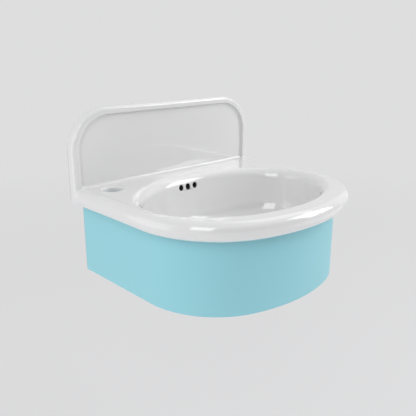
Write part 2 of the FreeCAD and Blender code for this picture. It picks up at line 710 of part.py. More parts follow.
FLANGE_FOOT = "(%s + size.flange_seal)" % SEAT
FLANGE_TOP = "(%s + size.flange_thickness)" % FLANGE_FOOT
BRIDGE_FOOT = "(%s - size.bridge_drop)" % FLANGE_FOOT
BRIDGE_TOP = "(%s + size.bridge_height)" % BRIDGE_FOOT


def on_waste_axis(name, radius, height, z):
    return cylinder(name, radius, height, "0", WASTE_Y, z)


def waste_cross(name, length, width, height, z):
    """Two bars that cross on the waste's axis."""
    return [
        block("%s_%d" % (name, number), along_x, along_y, height,
              "-(%s) / 2" % along_x, "%s - (%s) / 2" % (WASTE_Y, along_y), z)
        for number, (along_x, along_y) in enumerate([(length, width), (width, length)], start=1)
    ]


def make_waste_body():
    """Flanged and threaded waste with overflow slots and a bridge that holds the cartridge."""
    flange = on_waste_axis("waste_flange", "size.flange_radius", "size.flange_thickness", FLANGE_FOOT)
    tail = on_waste_axis("waste_tail", "size.tail_radius",
                         "size.tail_drop + %s" % FLANGE_FOOT, "-size.tail_drop")
    bore = on_waste_axis("waste_bore", "size.tail_bore_radius",
                         "size.tail_drop + %s + %g" % (FLANGE_TOP, 2 * CUT_MARGIN),
                         "-size.tail_drop - %g" % CUT_MARGIN)
    slots = waste_cross("waste_slot", "3 * size.tail_radius", "size.slot_width", "size.slot_height",
                        "%s - size.link_drop - size.slot_height / 2" % FLOOR)
    groove_foot = "-size.nut_drop - size.groove_height"
    groove = ring("waste_groove", "2 * size.tail_radius", "size.tail_radius - size.groove_depth",
                  "size.groove_height", "0", WASTE_Y, groove_foot)
    pipe = cut("waste_pipe", fuse("waste_blank", flange, tail), bore, groove, *slots)
    hub = on_waste_axis("bridge_hub", "size.cartridge_radius", "size.bridge_height", BRIDGE_FOOT)
    arms = waste_cross("bridge_arm", "size.tail_radius + size.tail_bore_radius", "size.bridge_arm",
                       "size.bridge_height", BRIDGE_FOOT)
    thread = on_waste_axis("bridge_thread", "size.spigot_radius + size.thread_clearance",
                           "3 * size.bridge_height", "%s - size.bridge_height" % BRIDGE_FOOT)
    bridge = cut("bridge", fuse("bridge_blank", hub, *arms), thread)
    return fuse("waste_body", pipe, bridge)


def hex_nut(name, corner_radius, bore_radius, height, z):
    blank = doc.addObject("Part::Prism", name + "_blank")
    blank.Polygon = 6
    bind(blank, Circumradius=corner_radius, Height=height)
    place(blank, "0", WASTE_Y, z)
    return cut(name, blank, on_waste_axis(name + "_thread", bore_radius, height, z))


def waste_rings():
    """Rings, washer and nut that clamp the waste in the boss."""
    snug = "size.tail_radius + size.thread_clearance"
    lower = "(%s - size.lower_seal)" % BOSS_FOOT
    slip = "(%s - size.slip_washer)" % lower
    return [
        ring("waste_flange_seal", "size.flange_radius", snug, "size.flange_seal", "0", WASTE_Y, SEAT),
        ring("waste_lower_seal", "size.lower_seal_radius", snug, "size.lower_seal", "0", WASTE_Y, lower),
        ring("waste_slip_washer", "size.lower_seal_radius", snug, "size.slip_washer", "0", WASTE_Y, slip),
        hex_nut("waste_back_nut", "size.back_nut_radius", snug, "size.back_nut",
                "%s - size.back_nut" % slip),
    ]


SLEEVE_TOP = "(%s + size.cartridge_length)" % BRIDGE_TOP
CHAMBER_FLOOR = "(%s + size.cartridge_floor)" % BRIDGE_TOP
COLLAR_FOOT = "(%s - size.collar_height)" % SLEEVE_TOP
SEAL_FOOT = "(%s + size.closed_gap + size.plug_travel)" % FLANGE_TOP
PLUG_FOOT = "(%s + size.seal_height)" % SEAL_FOOT


def make_cartridge():
    """Sleeve screwed into the bridge, and the cap that keeps the spindle in it."""
    sleeve = on_waste_axis("sleeve_blank", "size.cartridge_radius", "size.cartridge_length", BRIDGE_TOP)
    spigot = on_waste_axis("spigot", "size.spigot_radius", "size.bridge_height", BRIDGE_FOOT)
    chamber = on_waste_axis("chamber", "size.chamber_radius", "size.cartridge_length", CHAMBER_FLOOR)
    body = cut("cartridge_body", fuse("cartridge_blank", sleeve, spigot), chamber)
    cap = ring("cartridge_cap", "size.cartridge_radius", "size.spindle_radius + size.running_clearance",
               "size.cartridge_cap", "0", WASTE_Y, SLEEVE_TOP)
    return body, cap


def make_spindle():
    rod_foot = "(%s - size.spindle_tail)" % COLLAR_FOOT
    rod = on_waste_axis("spindle_rod", "size.spindle_radius", "%s - %s" % (PLUG_FOOT, rod_foot), rod_foot)
    collar = on_waste_axis("spindle_collar", "size.collar_radius", "size.collar_height", COLLAR_FOOT)
    return fuse("plug_spindle", rod, collar)


def make_plug():
    """Domed cap with the socket that screws on to the spindle, and the ring under it."""
    disc = on_waste_axis("plug_disc", "size.plug_radius", "size.plug_edge", PLUG_FOOT)
    crown_top = "(%s + size.plug_edge + size.plug_crown)" % PLUG_FOOT
    crown_radius = "((size.plug_radius ^ 2 + size.plug_crown ^ 2) / (2 * size.plug_crown))"
    dome = doc.addObject("Part::Sphere", "plug_dome")
    bind(dome, Radius=crown_radius)
    place(dome, "0", WASTE_Y, "%s - %s" % (crown_top, crown_radius))
    column = on_waste_axis("plug_column", "size.plug_radius", "size.plug_crown",
                           "%s + size.plug_edge" % PLUG_FOOT)
    crown = doc.addObject("Part::Common", "plug_crown")
    crown.Base = dome
    crown.Tool = column
    socket = ring("plug_socket", "size.plug_socket_radius", "size.spindle_radius + size.thread_clearance",
                  "size.plug_socket", "0", WASTE_Y, "%s - size.plug_socket" % PLUG_FOOT)
    cap = fuse("plug_cap", disc, crown, socket)
    seal = ring("plug_seal", "size.seal_outer_radius", "size.seal_inner_radius", "size.seal_height",
                "0", WASTE_Y, SEAL_FOOT)
    return cap, seal


def make_spring():
    """Round wire wound between the chamber's floor and the spindle's collar."""
    wire = value("size.spring_wire_radius")
    clear = value("size.spring_clearance")
    foot = value(CHAMBER_FLOOR) + wire + clear
    length = value(COLLAR_FOOT) - wire - clear - foot
    radius = value("size.spring_radius")
    helix = Part.makeHelix(length / value("size.spring_turns"), length, radius)
    lead = math.atan2(length / value("size.spring_turns"), 2 * math.pi * radius)
    heading = Vector(0, math.cos(lead), math.sin(lead))
    section = Part.Wire(Part.Circle(Vector(radius, 0, 0), heading, wire).toShape())
    thing = doc.addObject("Part::Feature", "plug_spring")
    thing.Shape = Part.Wire(helix.Edges).makePipeShell([section], True, True)
    thing.Placement = Placement(Vector(0, value(WASTE_Y), foot), UPRIGHT)
    return thing


def make_nodes():
    nodes = [make_basin(), make_skirt(), make_edge_trim()]
    nodes += [make_bracket(side, sign) for side, sign in SIDES]
    nodes += stud_sets()
    nodes += [make_bushes(), make_waste_body()]
    nodes += waste_rings()
    nodes += make_cartridge()
    nodes += [make_spindle(), make_spring()]
    nodes += make_plug()
    return nodes


def check(nodes):
    """Stops on a failed feature or a bad shape."""
    for thing in doc.Objects:
        if {"Invalid", "Error"} & set(thing.State):
            raise RuntimeError("%s failed: %s" % (thing.Name, thing.State))
    for node in nodes:
        if node.Shape.isNull() or not node.Shape.isValid() or node.Shape.Volume <= 0:
            raise RuntimeError("%s has a bad shape" % node.Label)


def main():
    nodes = make_nodes()
    doc.recompute()
    for node in nodes:
        node.Label = node.Name
    check(nodes)
    os.makedirs("parts", exist_ok=True)
    for node in nodes:
        node.Shape.exportStep("parts/%s.step" % node.Label)
        print("%-22s solids %d  volume %.0f" % (node.Label, len(node.Shape.Solids), node.Shape.Volume))


main()
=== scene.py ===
import math

import bpy
import numpy as np
import openvdb
from bpy.props import FloatProperty, FloatVectorProperty, PointerProperty
from mathutils import Matrix, Vector


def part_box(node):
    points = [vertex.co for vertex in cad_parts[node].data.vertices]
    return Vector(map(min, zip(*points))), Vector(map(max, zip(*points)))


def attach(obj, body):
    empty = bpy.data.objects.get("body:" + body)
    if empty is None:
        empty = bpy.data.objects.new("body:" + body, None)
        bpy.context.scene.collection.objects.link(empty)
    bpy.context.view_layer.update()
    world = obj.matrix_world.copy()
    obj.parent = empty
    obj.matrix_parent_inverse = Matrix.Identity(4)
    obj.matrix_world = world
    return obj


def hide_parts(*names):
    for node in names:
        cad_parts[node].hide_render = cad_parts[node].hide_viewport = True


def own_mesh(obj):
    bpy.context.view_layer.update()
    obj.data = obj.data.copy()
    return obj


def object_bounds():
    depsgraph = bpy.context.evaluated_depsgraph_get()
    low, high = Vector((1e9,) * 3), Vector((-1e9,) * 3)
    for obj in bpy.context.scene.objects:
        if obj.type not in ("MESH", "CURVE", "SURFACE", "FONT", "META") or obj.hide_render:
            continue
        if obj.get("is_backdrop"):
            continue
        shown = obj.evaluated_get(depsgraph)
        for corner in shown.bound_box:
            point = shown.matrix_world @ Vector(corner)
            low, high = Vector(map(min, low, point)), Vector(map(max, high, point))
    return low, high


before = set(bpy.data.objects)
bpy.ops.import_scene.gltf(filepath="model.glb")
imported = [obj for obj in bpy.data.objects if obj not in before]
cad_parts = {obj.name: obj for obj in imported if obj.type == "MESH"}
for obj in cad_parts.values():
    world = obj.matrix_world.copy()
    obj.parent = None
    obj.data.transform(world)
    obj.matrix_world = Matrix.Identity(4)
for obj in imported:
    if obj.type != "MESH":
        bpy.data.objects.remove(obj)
CAD_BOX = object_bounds()

bl_info = {
    "name": "Wall-hung hand basin",
    "version": (1, 0, 0),
    "blender": (4, 5, 0),
    "location": "3D View > Sidebar > Hand basin",
    "description": "Glazed hand basin with a coloured skirt and a push-open waste",
    "category": "Object",
}

BODY = "basin_and_skirt"
PLUG = "plug"
BASIN_LOW, BASIN_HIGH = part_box("basin")
SKIRT_LOW, SKIRT_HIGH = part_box("skirt")
PLUG_LOW, PLUG_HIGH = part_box("plug_cap")
NUT_RADIUS = 0.0050
TINY = 1e-9


def length(name, default, description):
    """A size in metres."""
    return FloatProperty(name=name, description=description, default=float(default),
                         min=0.0, precision=4, subtype="DISTANCE", unit="LENGTH")


def colour(name, default, description):
    return FloatVectorProperty(name=name, description=description, default=default,
                               min=0.0, max=1.0, size=3, subtype="COLOR")


class CastingSizes(bpy.types.PropertyGroup):
    """Sizes of the glazed casting."""

    width: length("Width", BASIN_HIGH[0] - BASIN_LOW[0], "Overall width of rim and back panel")
    depth: length("Depth", 0.3879, "Wall to the front of the rim")
    corner: length("Corner radius", 0.174, "Plan radius of the rim's front corners")
    front: length("Front radius", 0.338, "Plan radius of the rim's front")
    rim_drop: length("Rim drop", 0.0325, "Deck to the underside of the rim")
    bead: length("Bead", 0.001, "Rim bead above the deck")
    bead_foot: length("Bead foot", 0.007, "Crest of the bead to its foot on the deck")
    top_round: length("Top round", 0.016, "Round on the rim's top edge")
    bottom_round: length("Bottom round", 0.01675, "Round on the rim's bottom edge")
    deck: length("Deck", 0.012, "Thickness of the deck")
    back_height: length("Back height", BASIN_HIGH[2], "Deck to the top of the back panel")
    back_thickness: length("Back thickness", 0.020, "Back panel at its border")
    back_corner: length("Back corner", 0.078, "Top corners of the back panel")
    back_edge: length("Back edge", 0.007, "Round on the border's outer edge")
    border: length("Border", 0.014, "Width of the raised border")
    panel: length("Panel", 0.014, "Back panel inside its border")
    crease: length("Crease", 0.006, "Radius of the hollow between panel and deck")
    lip_x: length("Lip half width", 0.211, "Half width of the bowl's lip")
    lip_y: length("Lip half depth", 0.155, "Half depth of the bowl's lip")
    lip_roll: length("Lip roll", 0.022, "Radius of the rolled lip")
    lip_rise: length("Lip rise", 0.0013, "Crest of the lip above the deck")
    bowl_y: length("Bowl middle", 0.203, "Wall to the middle of the bowl")
    bowl_depth: length("Bowl depth", 0.1073, "Crest of the lip to the floor")
    bowl_wall: length("Bowl wall", 0.010, "Ceramic wall of the bowl")
    cell: length("Mesh size", 0.002, "Size of the casting's mesh faces")


class SkirtSizes(bpy.types.PropertyGroup):
    """Sizes of the skirt."""

    side_inset: length("Side inset", BASIN_HIGH[0] - SKIRT_HIGH[0], "Side of the rim to the skirt")
    front_inset: length("Front inset", 0.026, "Front of the rim to the skirt")
    drop: length("Drop", -SKIRT_LOW[2], "Deck to the skirt's bottom edge")
    top: length("Top", -SKIRT_HIGH[2], "Deck to the skirt's top edge")
    sheet: length("Sheet", 0.002, "Thickness of the sheet")
    step: length("Mesh step", 0.003, "Length of the skirt's mesh faces round its bends")
    stud_pitch: length("Stud pitch", 0.0008, "Pitch of the thread on the weld studs")
    stud_ridge: length("Stud ridge", 0.0003, "Height of the thread on the weld studs")


class WasteSizes(bpy.types.PropertyGroup):
    """Sizes of the waste and its plug."""

    setback: length("Setback", -(PLUG_LOW[1] + PLUG_HIGH[1]) / 2, "Wall to the axis of the waste")
    thread: length("Thread", 0.021, "Radius inside the back nut and the rings on the waste")
    pitch: length("Thread pitch", 0.0023, "Pitch of the waste's thread")
    ridge: length("Thread ridge", 0.0009, "Height of the waste's thread")
    edge: length("Edge", 0.0004, "Round on the edges of rings")
    plug_edge: length("Plug edge", 0.002, "Plug cap at its edge")
    socket: length("Socket", 0.006, "Radius and length of the socket under the plug cap")
    spindle: length("Spindle", 0.00305, "Radius of the bore for the spindle")
    seal: length("Plug seal", 0.024, "Radius inside the ring under the plug cap")
    wire: length("Spring wire", 0.00055, "Radius of the spring's wire")
    turns: FloatProperty(name="Spring turns", description="Turns of the spring", default=6.0, min=2.0)


class Finishes(bpy.types.PropertyGroup):
    """Colours of the finishes."""

    glaze: colour("Glaze", (0.77, 0.77, 0.77), "White glaze")
    biscuit: colour("Biscuit", (0.62, 0.59, 0.54), "Unglazed ceramic at the wall")
    # The duct colour is painted shade: a near-black tone for the inside of the overflow duct and its
    # holes.
    duct: colour("Duct", (0.030, 0.029, 0.028), "Unglazed inside of the overflow duct")
    coat: colour("Skirt coat", (0.297, 0.637, 0.714), "Turquoise powder coat")
    trim: colour("Trim", (0.42, 0.43, 0.44), "Soft trim on the skirt's edge")
    zinc: colour("Zinc", (0.60, 0.61, 0.62), "Zinc plate on brackets, studs, washers and nuts")
    nylon: colour("Nylon", (0.75, 0.74, 0.69), "Nylon of the wall bolt bushes")
    chrome: colour("Chrome", (0.78, 0.79, 0.80), "Chrome plate on waste and plug")
    brass: colour("Brass", (0.66, 0.50, 0.25), "Turned brass of nut, cap and spindle")
    steel: colour("Spring steel", (0.55, 0.55, 0.56), "Drawn wire of the spring")
    rubber: colour("Rubber", (0.025, 0.025, 0.026), "Black rubber of the seals")
    acetal: colour("Acetal", (0.70, 0.70, 0.68), "Acetal of cartridge and slip ring")
    background: colour("Background", (0.730, 0.730, 0.737), "Floor and backdrop")


class StageSettings(bpy.types.PropertyGroup):
    """Camera, floor and light."""

    azimuth: FloatProperty(name="Azimuth", description="Camera's turn about the basin",
                           default=math.radians(-43.021), subtype="ANGLE", unit="ROTATION")
    elevation: FloatProperty(name="Elevation", description="Camera's height angle",
                             default=math.radians(16.854), subtype="ANGLE", unit="ROTATION")
    camera_at: FloatVectorProperty(name="Camera", description="Camera's place",
                                   default=(-0.6920, -0.8705, 0.2531), subtype="XYZ", unit="LENGTH")
    lens: FloatProperty(name="Lens", description="Focal length in millimetres", default=46.656, min=1.0)
    floor: length("Floor", 0.60, "Floor below the deck")
    ambient: FloatProperty(name="Ambient", description="Light from all round", default=0.90, min=0.0)
    front_shade: FloatProperty(name="Front shade", description="How dark it is in front of the basin",
                               default=0.80, min=0.0, max=1.0, subtype="FACTOR")


class HandBasinSettings(bpy.types.PropertyGroup):
    """All settings of the hand basin."""

    casting: PointerProperty(type=CastingSizes)
    skirt: PointerProperty(type=SkirtSizes)
    waste: PointerProperty(type=WasteSizes)
    finishes: PointerProperty(type=Finishes)
    stage: PointerProperty(type=StageSettings)


def settings():
    return bpy.context.scene.hand_basin


class Value:
    """A number that varies over a surface; arithmetic on it adds Math nodes."""

    def __init__(self, finish, socket):
        self.finish = finish
        self.socket = socket

    def maths(self, operation, *entries):
        """Result of a Math node with these inputs."""
        return self.finish.node("ShaderNodeMath", {"operation": operation}, dict(enumerate(entries)))[0]

    def __add__(self, other):
        return self.maths("ADD", self, other)

    def __radd__(self, other):
        return self.maths("ADD", other, self)

    def __sub__(self, other):
        return self.maths("SUBTRACT", self, other)

    def __rsub__(self, other):
        return self.maths("SUBTRACT", other, self)

    def __mul__(self, other):
        return self.maths("MULTIPLY", self, other)

    def __rmul__(self, other):
        return self.maths("MULTIPLY", other, self)

    def __truediv__(self, other):
        return self.maths("DIVIDE", self, other)

    def __pow__(self, other):
        return self.maths("POWER", self, other)

    def ridges(self):
        """Saw teeth from 0 to 1 and back, one to each whole number."""
        middle = self.maths("FRACT", self) - 0.5
        return middle.maths("ABSOLUTE", middle) * 2.0

    def clamped(self):
        return self.finish.node("ShaderNodeClamp", {}, {0: self})[0]


class Nodes:
    """A node tree that is filled one node at a time."""

    def __init__(self, tree):
        self.tree = tree
        self.tree.nodes.clear()

    def node(self, kind, options, sockets):
        """Adds a node, sets its options, then its socket values and links; returns its outputs."""
        made = self.tree.nodes.new(kind)
        for name, setting in options.items():
            setattr(made, name, setting)
        for key, entry in sockets.items():
            if isinstance(entry, Value):
                self.tree.links.new(entry.socket, made.inputs[key])
            else:
                made.inputs[key].default_value = entry
        return [Value(self, output) for output in made.outputs]

    def sees_background(self):
        """1 for rays from the camera and for those by way of gloss or glass, else 0."""
        path = self.node("ShaderNodeLightPath", {}, {})
        camera_ray, glossy_ray, transmission_ray = path[0], path[3], path[6]
        return (camera_ray + glossy_ray + transmission_ray).clamped()


class Finish(Nodes):
    """A node material for one of the basin's finishes."""

    def __init__(self, name):
        self.material = bpy.data.materials.new(name)
        self.material.use_nodes = True
        super().__init__(self.material.node_tree)

    def place(self):
        """Place on the object, in metres."""
        return self.node("ShaderNodeTexCoord", {}, {})[3]

    def axes(self):
        """X, Y and Z of the place on the object."""
        return self.node("ShaderNodeSeparateXYZ", {}, {0: self.place()})

    def noise(self, waves, detail=2.0, stretch=(1.0, 1.0, 1.0)):
        """Smooth noise from 0 to 1, with so many waves to the metre."""
        spread = self.node("ShaderNodeVectorMath", {"operation": "MULTIPLY"},
                           {0: self.place(), 1: stretch})[0]
        return self.node("ShaderNodeTexNoise", {},
                         {"Vector": spread, "Scale": waves, "Detail": detail})[0]

    def within(self, along, middle, half):
        """1 where a length lies within a range, else 0."""
        return self.node("ShaderNodeMath", {"operation": "COMPARE"}, {0: along, 1: middle, 2: half})[0]

    def mix(self, factor, first, second):
        """Colour between two colours."""
        outputs = self.node("ShaderNodeMix", {"data_type": "RGBA"}, {0: factor, 6: first, 7: second})
        return outputs[2]

    def bump(self, height, distance, strength):
        """Normals that follow a height."""
        return self.node("ShaderNodeBump", {},
                         {"Height": height, "Distance": distance, "Strength": strength})[0]

    def principled(self, **sockets):
        """Ends the material with a Principled shader, its sockets named in small letters."""
        names = {name.replace("_", " ").title().replace("Ior", "IOR"): entry
                 for name, entry in sockets.items()}
        shader = self.node("ShaderNodeBsdfPrincipled", {}, names)[0]
        self.finished(shader)
        return self.material

    def finished(self, shader):
        self.node("ShaderNodeOutputMaterial", {}, {0: shader})


def rgba(tone):
    return (*tone, 1.0)


def darker(tone, amount):
    return rgba([part * amount for part in tone])


def glaze_finish():
    """White glaze, bare biscuit where the casting meets the wall, and an unglazed overflow duct whose
    near-black tone is painted shade.
    """
    tones = settings().finishes
    finish = Finish("white_glaze")
    cloud = finish.noise(waves=9.0)
    speck = finish.noise(waves=260.0, detail=3.0)
    bare = bare_wall(finish)
    # Mask of the overflow duct: rough and uncoated as unglazed, and near-black as painted shade.
    duct = duct_painted_shade(finish)
    dull = (bare + duct).clamped()
    white = finish.mix(cloud, darker(tones.glaze, 0.99), rgba(tones.glaze))
    # Painted shade: the duct tone turns the duct and the inner ends of its holes near-black.
    tone = finish.mix(duct, finish.mix(bare, white, rgba(tones.biscuit)), rgba(tones.duct))
    height = cloud * 0.7 + speck * 0.02
    return finish.principled(
        base_color=tone, roughness=0.04 + 0.03 * speck + 0.7 * dull,
        coat_weight=0.5 - 0.5 * dull, coat_roughness=0.02, ior=1.6,
        normal=finish.bump(height, distance=0.0006, strength=0.25))


def bare_wall(finish):
    """1 on the back of the casting, which the glaze leaves bare, else 0."""
    edge = 0.0016
    sharpness = 1500.0
    _, along, _ = finish.axes()
    return ((along + edge) * sharpness).clamped()


def duct_painted_shade(finish):
    """1 in the overflow duct and the inner ends of its holes, which are left unglazed and painted
    near-black as painted shade, else 0.
    """
    slack = 0.0005
    lean, edge, sharpness = 0.30, 0.0630, 1000.0
    hole_middle, hole_reach, hole_half = -0.0620, 0.0100, 0.0070
    front, back = Casting.PASSAGE_Y
    foot, top = Casting.PASSAGE_FOOT, -settings().casting.deck
    across, along, up = finish.axes()
    hole = ((along - lean * up + edge) * sharpness).clamped()
    hole = hole * finish.within(up, Casting.OVERFLOW_Z, hole_half)
    hole = hole * finish.within(along, hole_middle, hole_reach)
    passage = finish.within(along, (front + back) / 2, (back - front) / 2 + slack)
    passage = passage * finish.within(up, (foot + top) / 2, (top - foot) / 2 + slack)
    return (hole + passage).clamped() * finish.within(across, 0.0, Casting.PASSAGE_HALF + slack)


def coat_finish():
    """Satin turquoise powder coat with a fine orange peel."""
    tones = settings().finishes
    finish = Finish("turquoise_powder_coat")
    peel = finish.noise(waves=900.0)
    cloud = finish.noise(waves=14.0)
    tone = finish.mix(cloud, darker(tones.coat, 0.985), rgba(tones.coat))
    return finish.principled(
        base_color=tone, roughness=0.40 + 0.08 * peel, ior=1.45,
        normal=finish.bump(peel, distance=0.00004, strength=0.5))


def metal_finish(name, tone, rough, stretch=(1.0, 1.0, 1.0), waves=240.0, depth=0.00002, thread=None):
    """Plated or drawn metal with fine streaks, and a thread where one is asked for."""
    finish = Finish(name)
    streak = finish.noise(waves, 3.0, stretch)
    cloud = finish.noise(waves=40.0)
    mixed = finish.mix(cloud, darker(tone, 0.90), rgba(tone))
    height = streak * depth
    if thread:
        height = height + thread(finish)
    return finish.principled(
        base_color=mixed, metallic=1.0, roughness=rough + 0.12 * streak,
        normal=finish.bump(height, distance=1.0, strength=0.7))


def waste_thread(finish):
    """Height of the thread that winds round the tail of the waste."""
    waste = settings().waste
    tail_middle, tail_half, slack = -0.172, 0.013, 0.0004
    across, along, up = finish.axes()
    out = along + waste.setback
    wound = out.maths("ARCTAN2", out, across) / (2.0 * math.pi) + up / waste.pitch
    radius = (across * across + out * out) ** 0.5
    on_tail = finish.within(radius, waste.thread, slack) * finish.within(up, tail_middle, tail_half)
    return wound.ridges() * on_tail * waste.ridge


def stud_thread(finish):
    """Height of the thread along the weld studs, which lie across the basin."""
    skirt = settings().skirt
    across, _, _ = finish.axes()
    return (across / skirt.stud_pitch).ridges() * skirt.stud_ridge


def plastic_finish(name, tone, rough, grain=700.0, depth=0.00004):
    """Moulded plastic or rubber with a fine grain."""
    finish = Finish(name)
    fine = finish.noise(grain, detail=3.0)
    cloud = finish.noise(waves=30.0)
    mixed = finish.mix(cloud, darker(tone, 0.92), rgba(tone))
    return finish.principled(
        base_color=mixed, roughness=rough + 0.15 * fine, ior=1.48,
        normal=finish.bump(fine, depth, strength=0.5))


def new_object(name, points, faces, material):
    """A smooth object with one finish."""
    mesh = bpy.data.meshes.new(name)
    mesh.from_pydata([tuple(point) for point in points], [], [tuple(face) for face in faces])
    mesh.update()
    mesh.polygons.foreach_set("use_smooth", [True] * len(mesh.polygons))
    thing = bpy.data.objects.new(name, mesh)
    bpy.context.scene.collection.objects.link(thing)
    mesh.materials.append(material)
    return thing


def dress_node(node, material):
    """Gives a node of the frame a finish."""
    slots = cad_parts[node].data.materials
    slots.clear()
    slots.append(material)


def soft_min(first, second, reach):
    """The smaller of two distances, with a round where they cross."""
    part = np.clip(0.5 + 0.5 * (second - first) / reach, 0.0, 1.0)
    return second * (1.0 - part) + first * part - reach * part * (1.0 - part)


def soft_max(first, second, reach):
    """The larger of two distances, with a round where they cross."""
    return -soft_min(-first, -second, reach)


def rounded(out, up, radius):
    """Distance to a corner of two faces, rounded to a radius."""
    past_out = out + radius
    past_up = up + radius
    inside = np.minimum(np.maximum(past_out, past_up), 0.0)
    return inside + np.hypot(np.maximum(past_out, 0.0), np.maximum(past_up, 0.0)) - radius


def bow_middles(half, depth, corner, front):
    """Middle of the arc at the right corner, and the place along of the middle of the front's arc."""
    corner_x = half - corner
    front_y = front - depth
    corner_y = front_y - math.sqrt((front - corner) ** 2 - corner_x ** 2)
    return corner_x, corner_y, front_y


def bow_distance(x, y, half, depth, corner, front):
    """Plan distance to an outline with straight sides, round corners and a bowed front."""
    deepest = -0.1
    side = np.abs(x)
    corner_x, corner_y, front_y = bow_middles(half, depth, corner, front)
    away_x = side - corner_x
    away_y = y - corner_y
    in_front = corner_x * away_y - (corner_y - front_y) * away_x < 0.0
    round_part = np.where(in_front, np.hypot(side, y - front_y) - front,
                          np.hypot(away_x, away_y) - corner)
    return np.where(y >= corner_y, side - half, np.maximum(round_part, deepest))


def skirt_plan(sizes, skirt, outset=0.0):
    """Half width, depth, corner radius and front radius of the skirt's outline, moved outwards."""
    return (sizes.width / 2 - skirt.side_inset + outset, sizes.depth - skirt.front_inset + outset,
            sizes.corner - skirt.side_inset + outset, sizes.front - skirt.side_inset + outset)


def box_distance(x, y, z, low, high):
    """Rough distance to a block, exact near its faces."""
    across = np.maximum(low[0] - x, x - high[0])
    along = np.maximum(low[1] - y, y - high[1])
    return np.maximum(np.maximum(across, along), np.maximum(low[2] - z, z - high[2]))


class Casting:
    """Distance to the surface of the glazed casting, negative inside it."""

    # Bowl: turn of its rolled lip, points of its profile and level of its floor.
    SWEEP = math.radians(84.0)
    LIP_POINTS = 400
    WALL_POINTS = 1600
    FLOOR = -0.106

    # In front of the bowl's middle the deck rises to the bead over this share of bowl_y.
    FRONT_BLEND = 0.25

    # Waste hole with its seat and boss, tap hole and wall bolt holes.
    WASTE_RADIUS = 0.023
    SEAT_RADIUS = 0.034
    SEAT_LEVEL = -0.109
    BOSS_RADIUS = 0.038
    BOSS_FOOT = BASIN_LOW[2]
    TAP_AT = (-0.168, -0.052)
    TAP_RADIUS = 0.0175
    BOLT_AT = (0.140, -0.062)
    BOLT_RADIUS = 0.0077
    BOLT_FRONT = -0.040

    # Overflow: holes in the bowl, passage down the duct and link from there to the waste hole.
    OVERFLOW_RADIUS = 0.0055
    OVERFLOW_PITCH = 0.018
    OVERFLOW_Z = -0.0215
    OVERFLOW_FRONT = -0.100
    PASSAGE_HALF = 0.027
    PASSAGE_Y = (-0.054, -0.040)
    PASSAGE_MIDDLE = sum(PASSAGE_Y) / 2
    PASSAGE_FOOT = -0.134
    LINK_RADIUS = 0.008
    LINK_LEVEL = -0.126
    LINK_FRONT = -0.203

    # Opposite corners of the blocks under the deck, at both sides of the middle; -1 is open-ended.
    STIFF_TOP = -0.004
    PAST_WALL = 0.02
    APRON = ((-1.0, -0.014, -0.108), (0.170, PAST_WALL, STIFF_TOP))
    RIB = ((0.089, -0.1015, -0.086), (0.101, PAST_WALL, STIFF_TOP))
    DUCT = ((-1.0, -0.1015, -1.0), (0.034, -0.033, STIFF_TOP))
    DUCT_FOOT = ((-1.0, LINK_FRONT, -1.0), (0.015, -0.033, FLOOR))

    # Channel in the underside for the skirt's edge trim, beyond the skirt's outline and inside it.
    CHANNEL_OUT = 0.0025
    CHANNEL_IN = -0.0038

    # Rounds where faces meet.
    FILLET = 0.006
    FILLET_LEAST_SHARE = 0.02
    TAP_ROUND = 0.005
    OVERFLOW_ROUND = 0.0025
    EDGE_ROUND = 0.002
    LIP_ROUND = 0.0015
    FINE_ROUND = 0.001

    def __init__(self, sizes, skirt):
        self.sizes = sizes
        self.skirt = skirt
        self.profile = self.bowl_profile()
        self.outer_profile = self.thickened(*self.profile)

    def bowl_profile(self):
        """Half axes and height of the bowl from its lip to its floor."""
        s = self.sizes
        lip_in = s.lip_roll * math.sin(self.SWEEP)
        lip_down = s.lip_roll * (1.0 - math.cos(self.SWEEP))
        knee = lip_in + (s.bowl_depth - lip_down) / math.tan(self.SWEEP)
        end_x = s.lip_x - self.SEAT_RADIUS
        end_y = s.lip_y - self.SEAT_RADIUS
        turn = np.linspace(0.0, self.SWEEP, self.LIP_POINTS)[:-1]
        t = np.linspace(0.0, 1.0, self.WALL_POINTS)
        start, bend, end = (1.0 - t) ** 3, 3.0 * t * (1.0 - t), t ** 3
        roll_in = s.lip_roll * np.sin(turn)
        in_x = np.concatenate([roll_in, start * lip_in + bend * knee + end * end_x])
        in_y = np.concatenate([roll_in, start * lip_in + bend * knee + end * end_y])
        down = np.concatenate([s.lip_roll * (1.0 - np.cos(turn)),
                               start * lip_down + (bend + end) * s.bowl_depth])
        return s.lip_x - in_x, s.lip_y - in_y, s.lip_rise - down

    def thickened(self, half_x, half_y, height):
        """The profile moved outwards by the wall of the bowl."""
        wall = self.sizes.bowl_wall
        fall = np.gradient(height)
        slant_x = np.hypot(np.gradient(half_x), fall)
        slant_y = np.hypot(np.gradient(half_y), fall)
        down = 0.5 * (np.gradient(half_x) / slant_x + np.gradient(half_y) / slant_y)
        return half_x - wall * fall / slant_x, half_y - wall * fall / slant_y, height + wall * down

    def bowl_height(self, x, y):
        """Height of the bowl's inside over a plan point; outside the lip it climbs away."""
        climb = np.maximum(self.lip_distance(x, y), 0.0) ** 2 / self.sizes.lip_roll
        return self.nested_height(x, y, self.profile) + climb

    def under_height(self, x, y):
        """Height of the bowl's outside over a plan point."""
        return self.nested_height(x, y, self.outer_profile)

    def nested_height(self, x, y, profile):
        """Height over a plan point on a stack of ellipses."""
        half_x, half_y, height = profile
        across = x ** 2 + 0.0 * y
        along = (y + self.sizes.bowl_y) ** 2 + 0.0 * x
        low = np.zeros(across.shape, dtype=int)
        high = np.full(across.shape, len(height) - 1)
        while (high - low).max() > 1:
            station = (low + high) // 2
            inside = across / half_x[station] ** 2 + along / half_y[station] ** 2 < 1.0
            low = np.where(inside, station, low)
            high = np.where(inside, high, station)
        short = across / half_x[low] ** 2 + along / half_y[low] ** 2
        long = across / half_x[high] ** 2 + along / half_y[high] ** 2
        part = np.clip((1.0 - short) / (long - short), 0.0, 1.0)
        return height[low] + part * (height[high] - height[low])

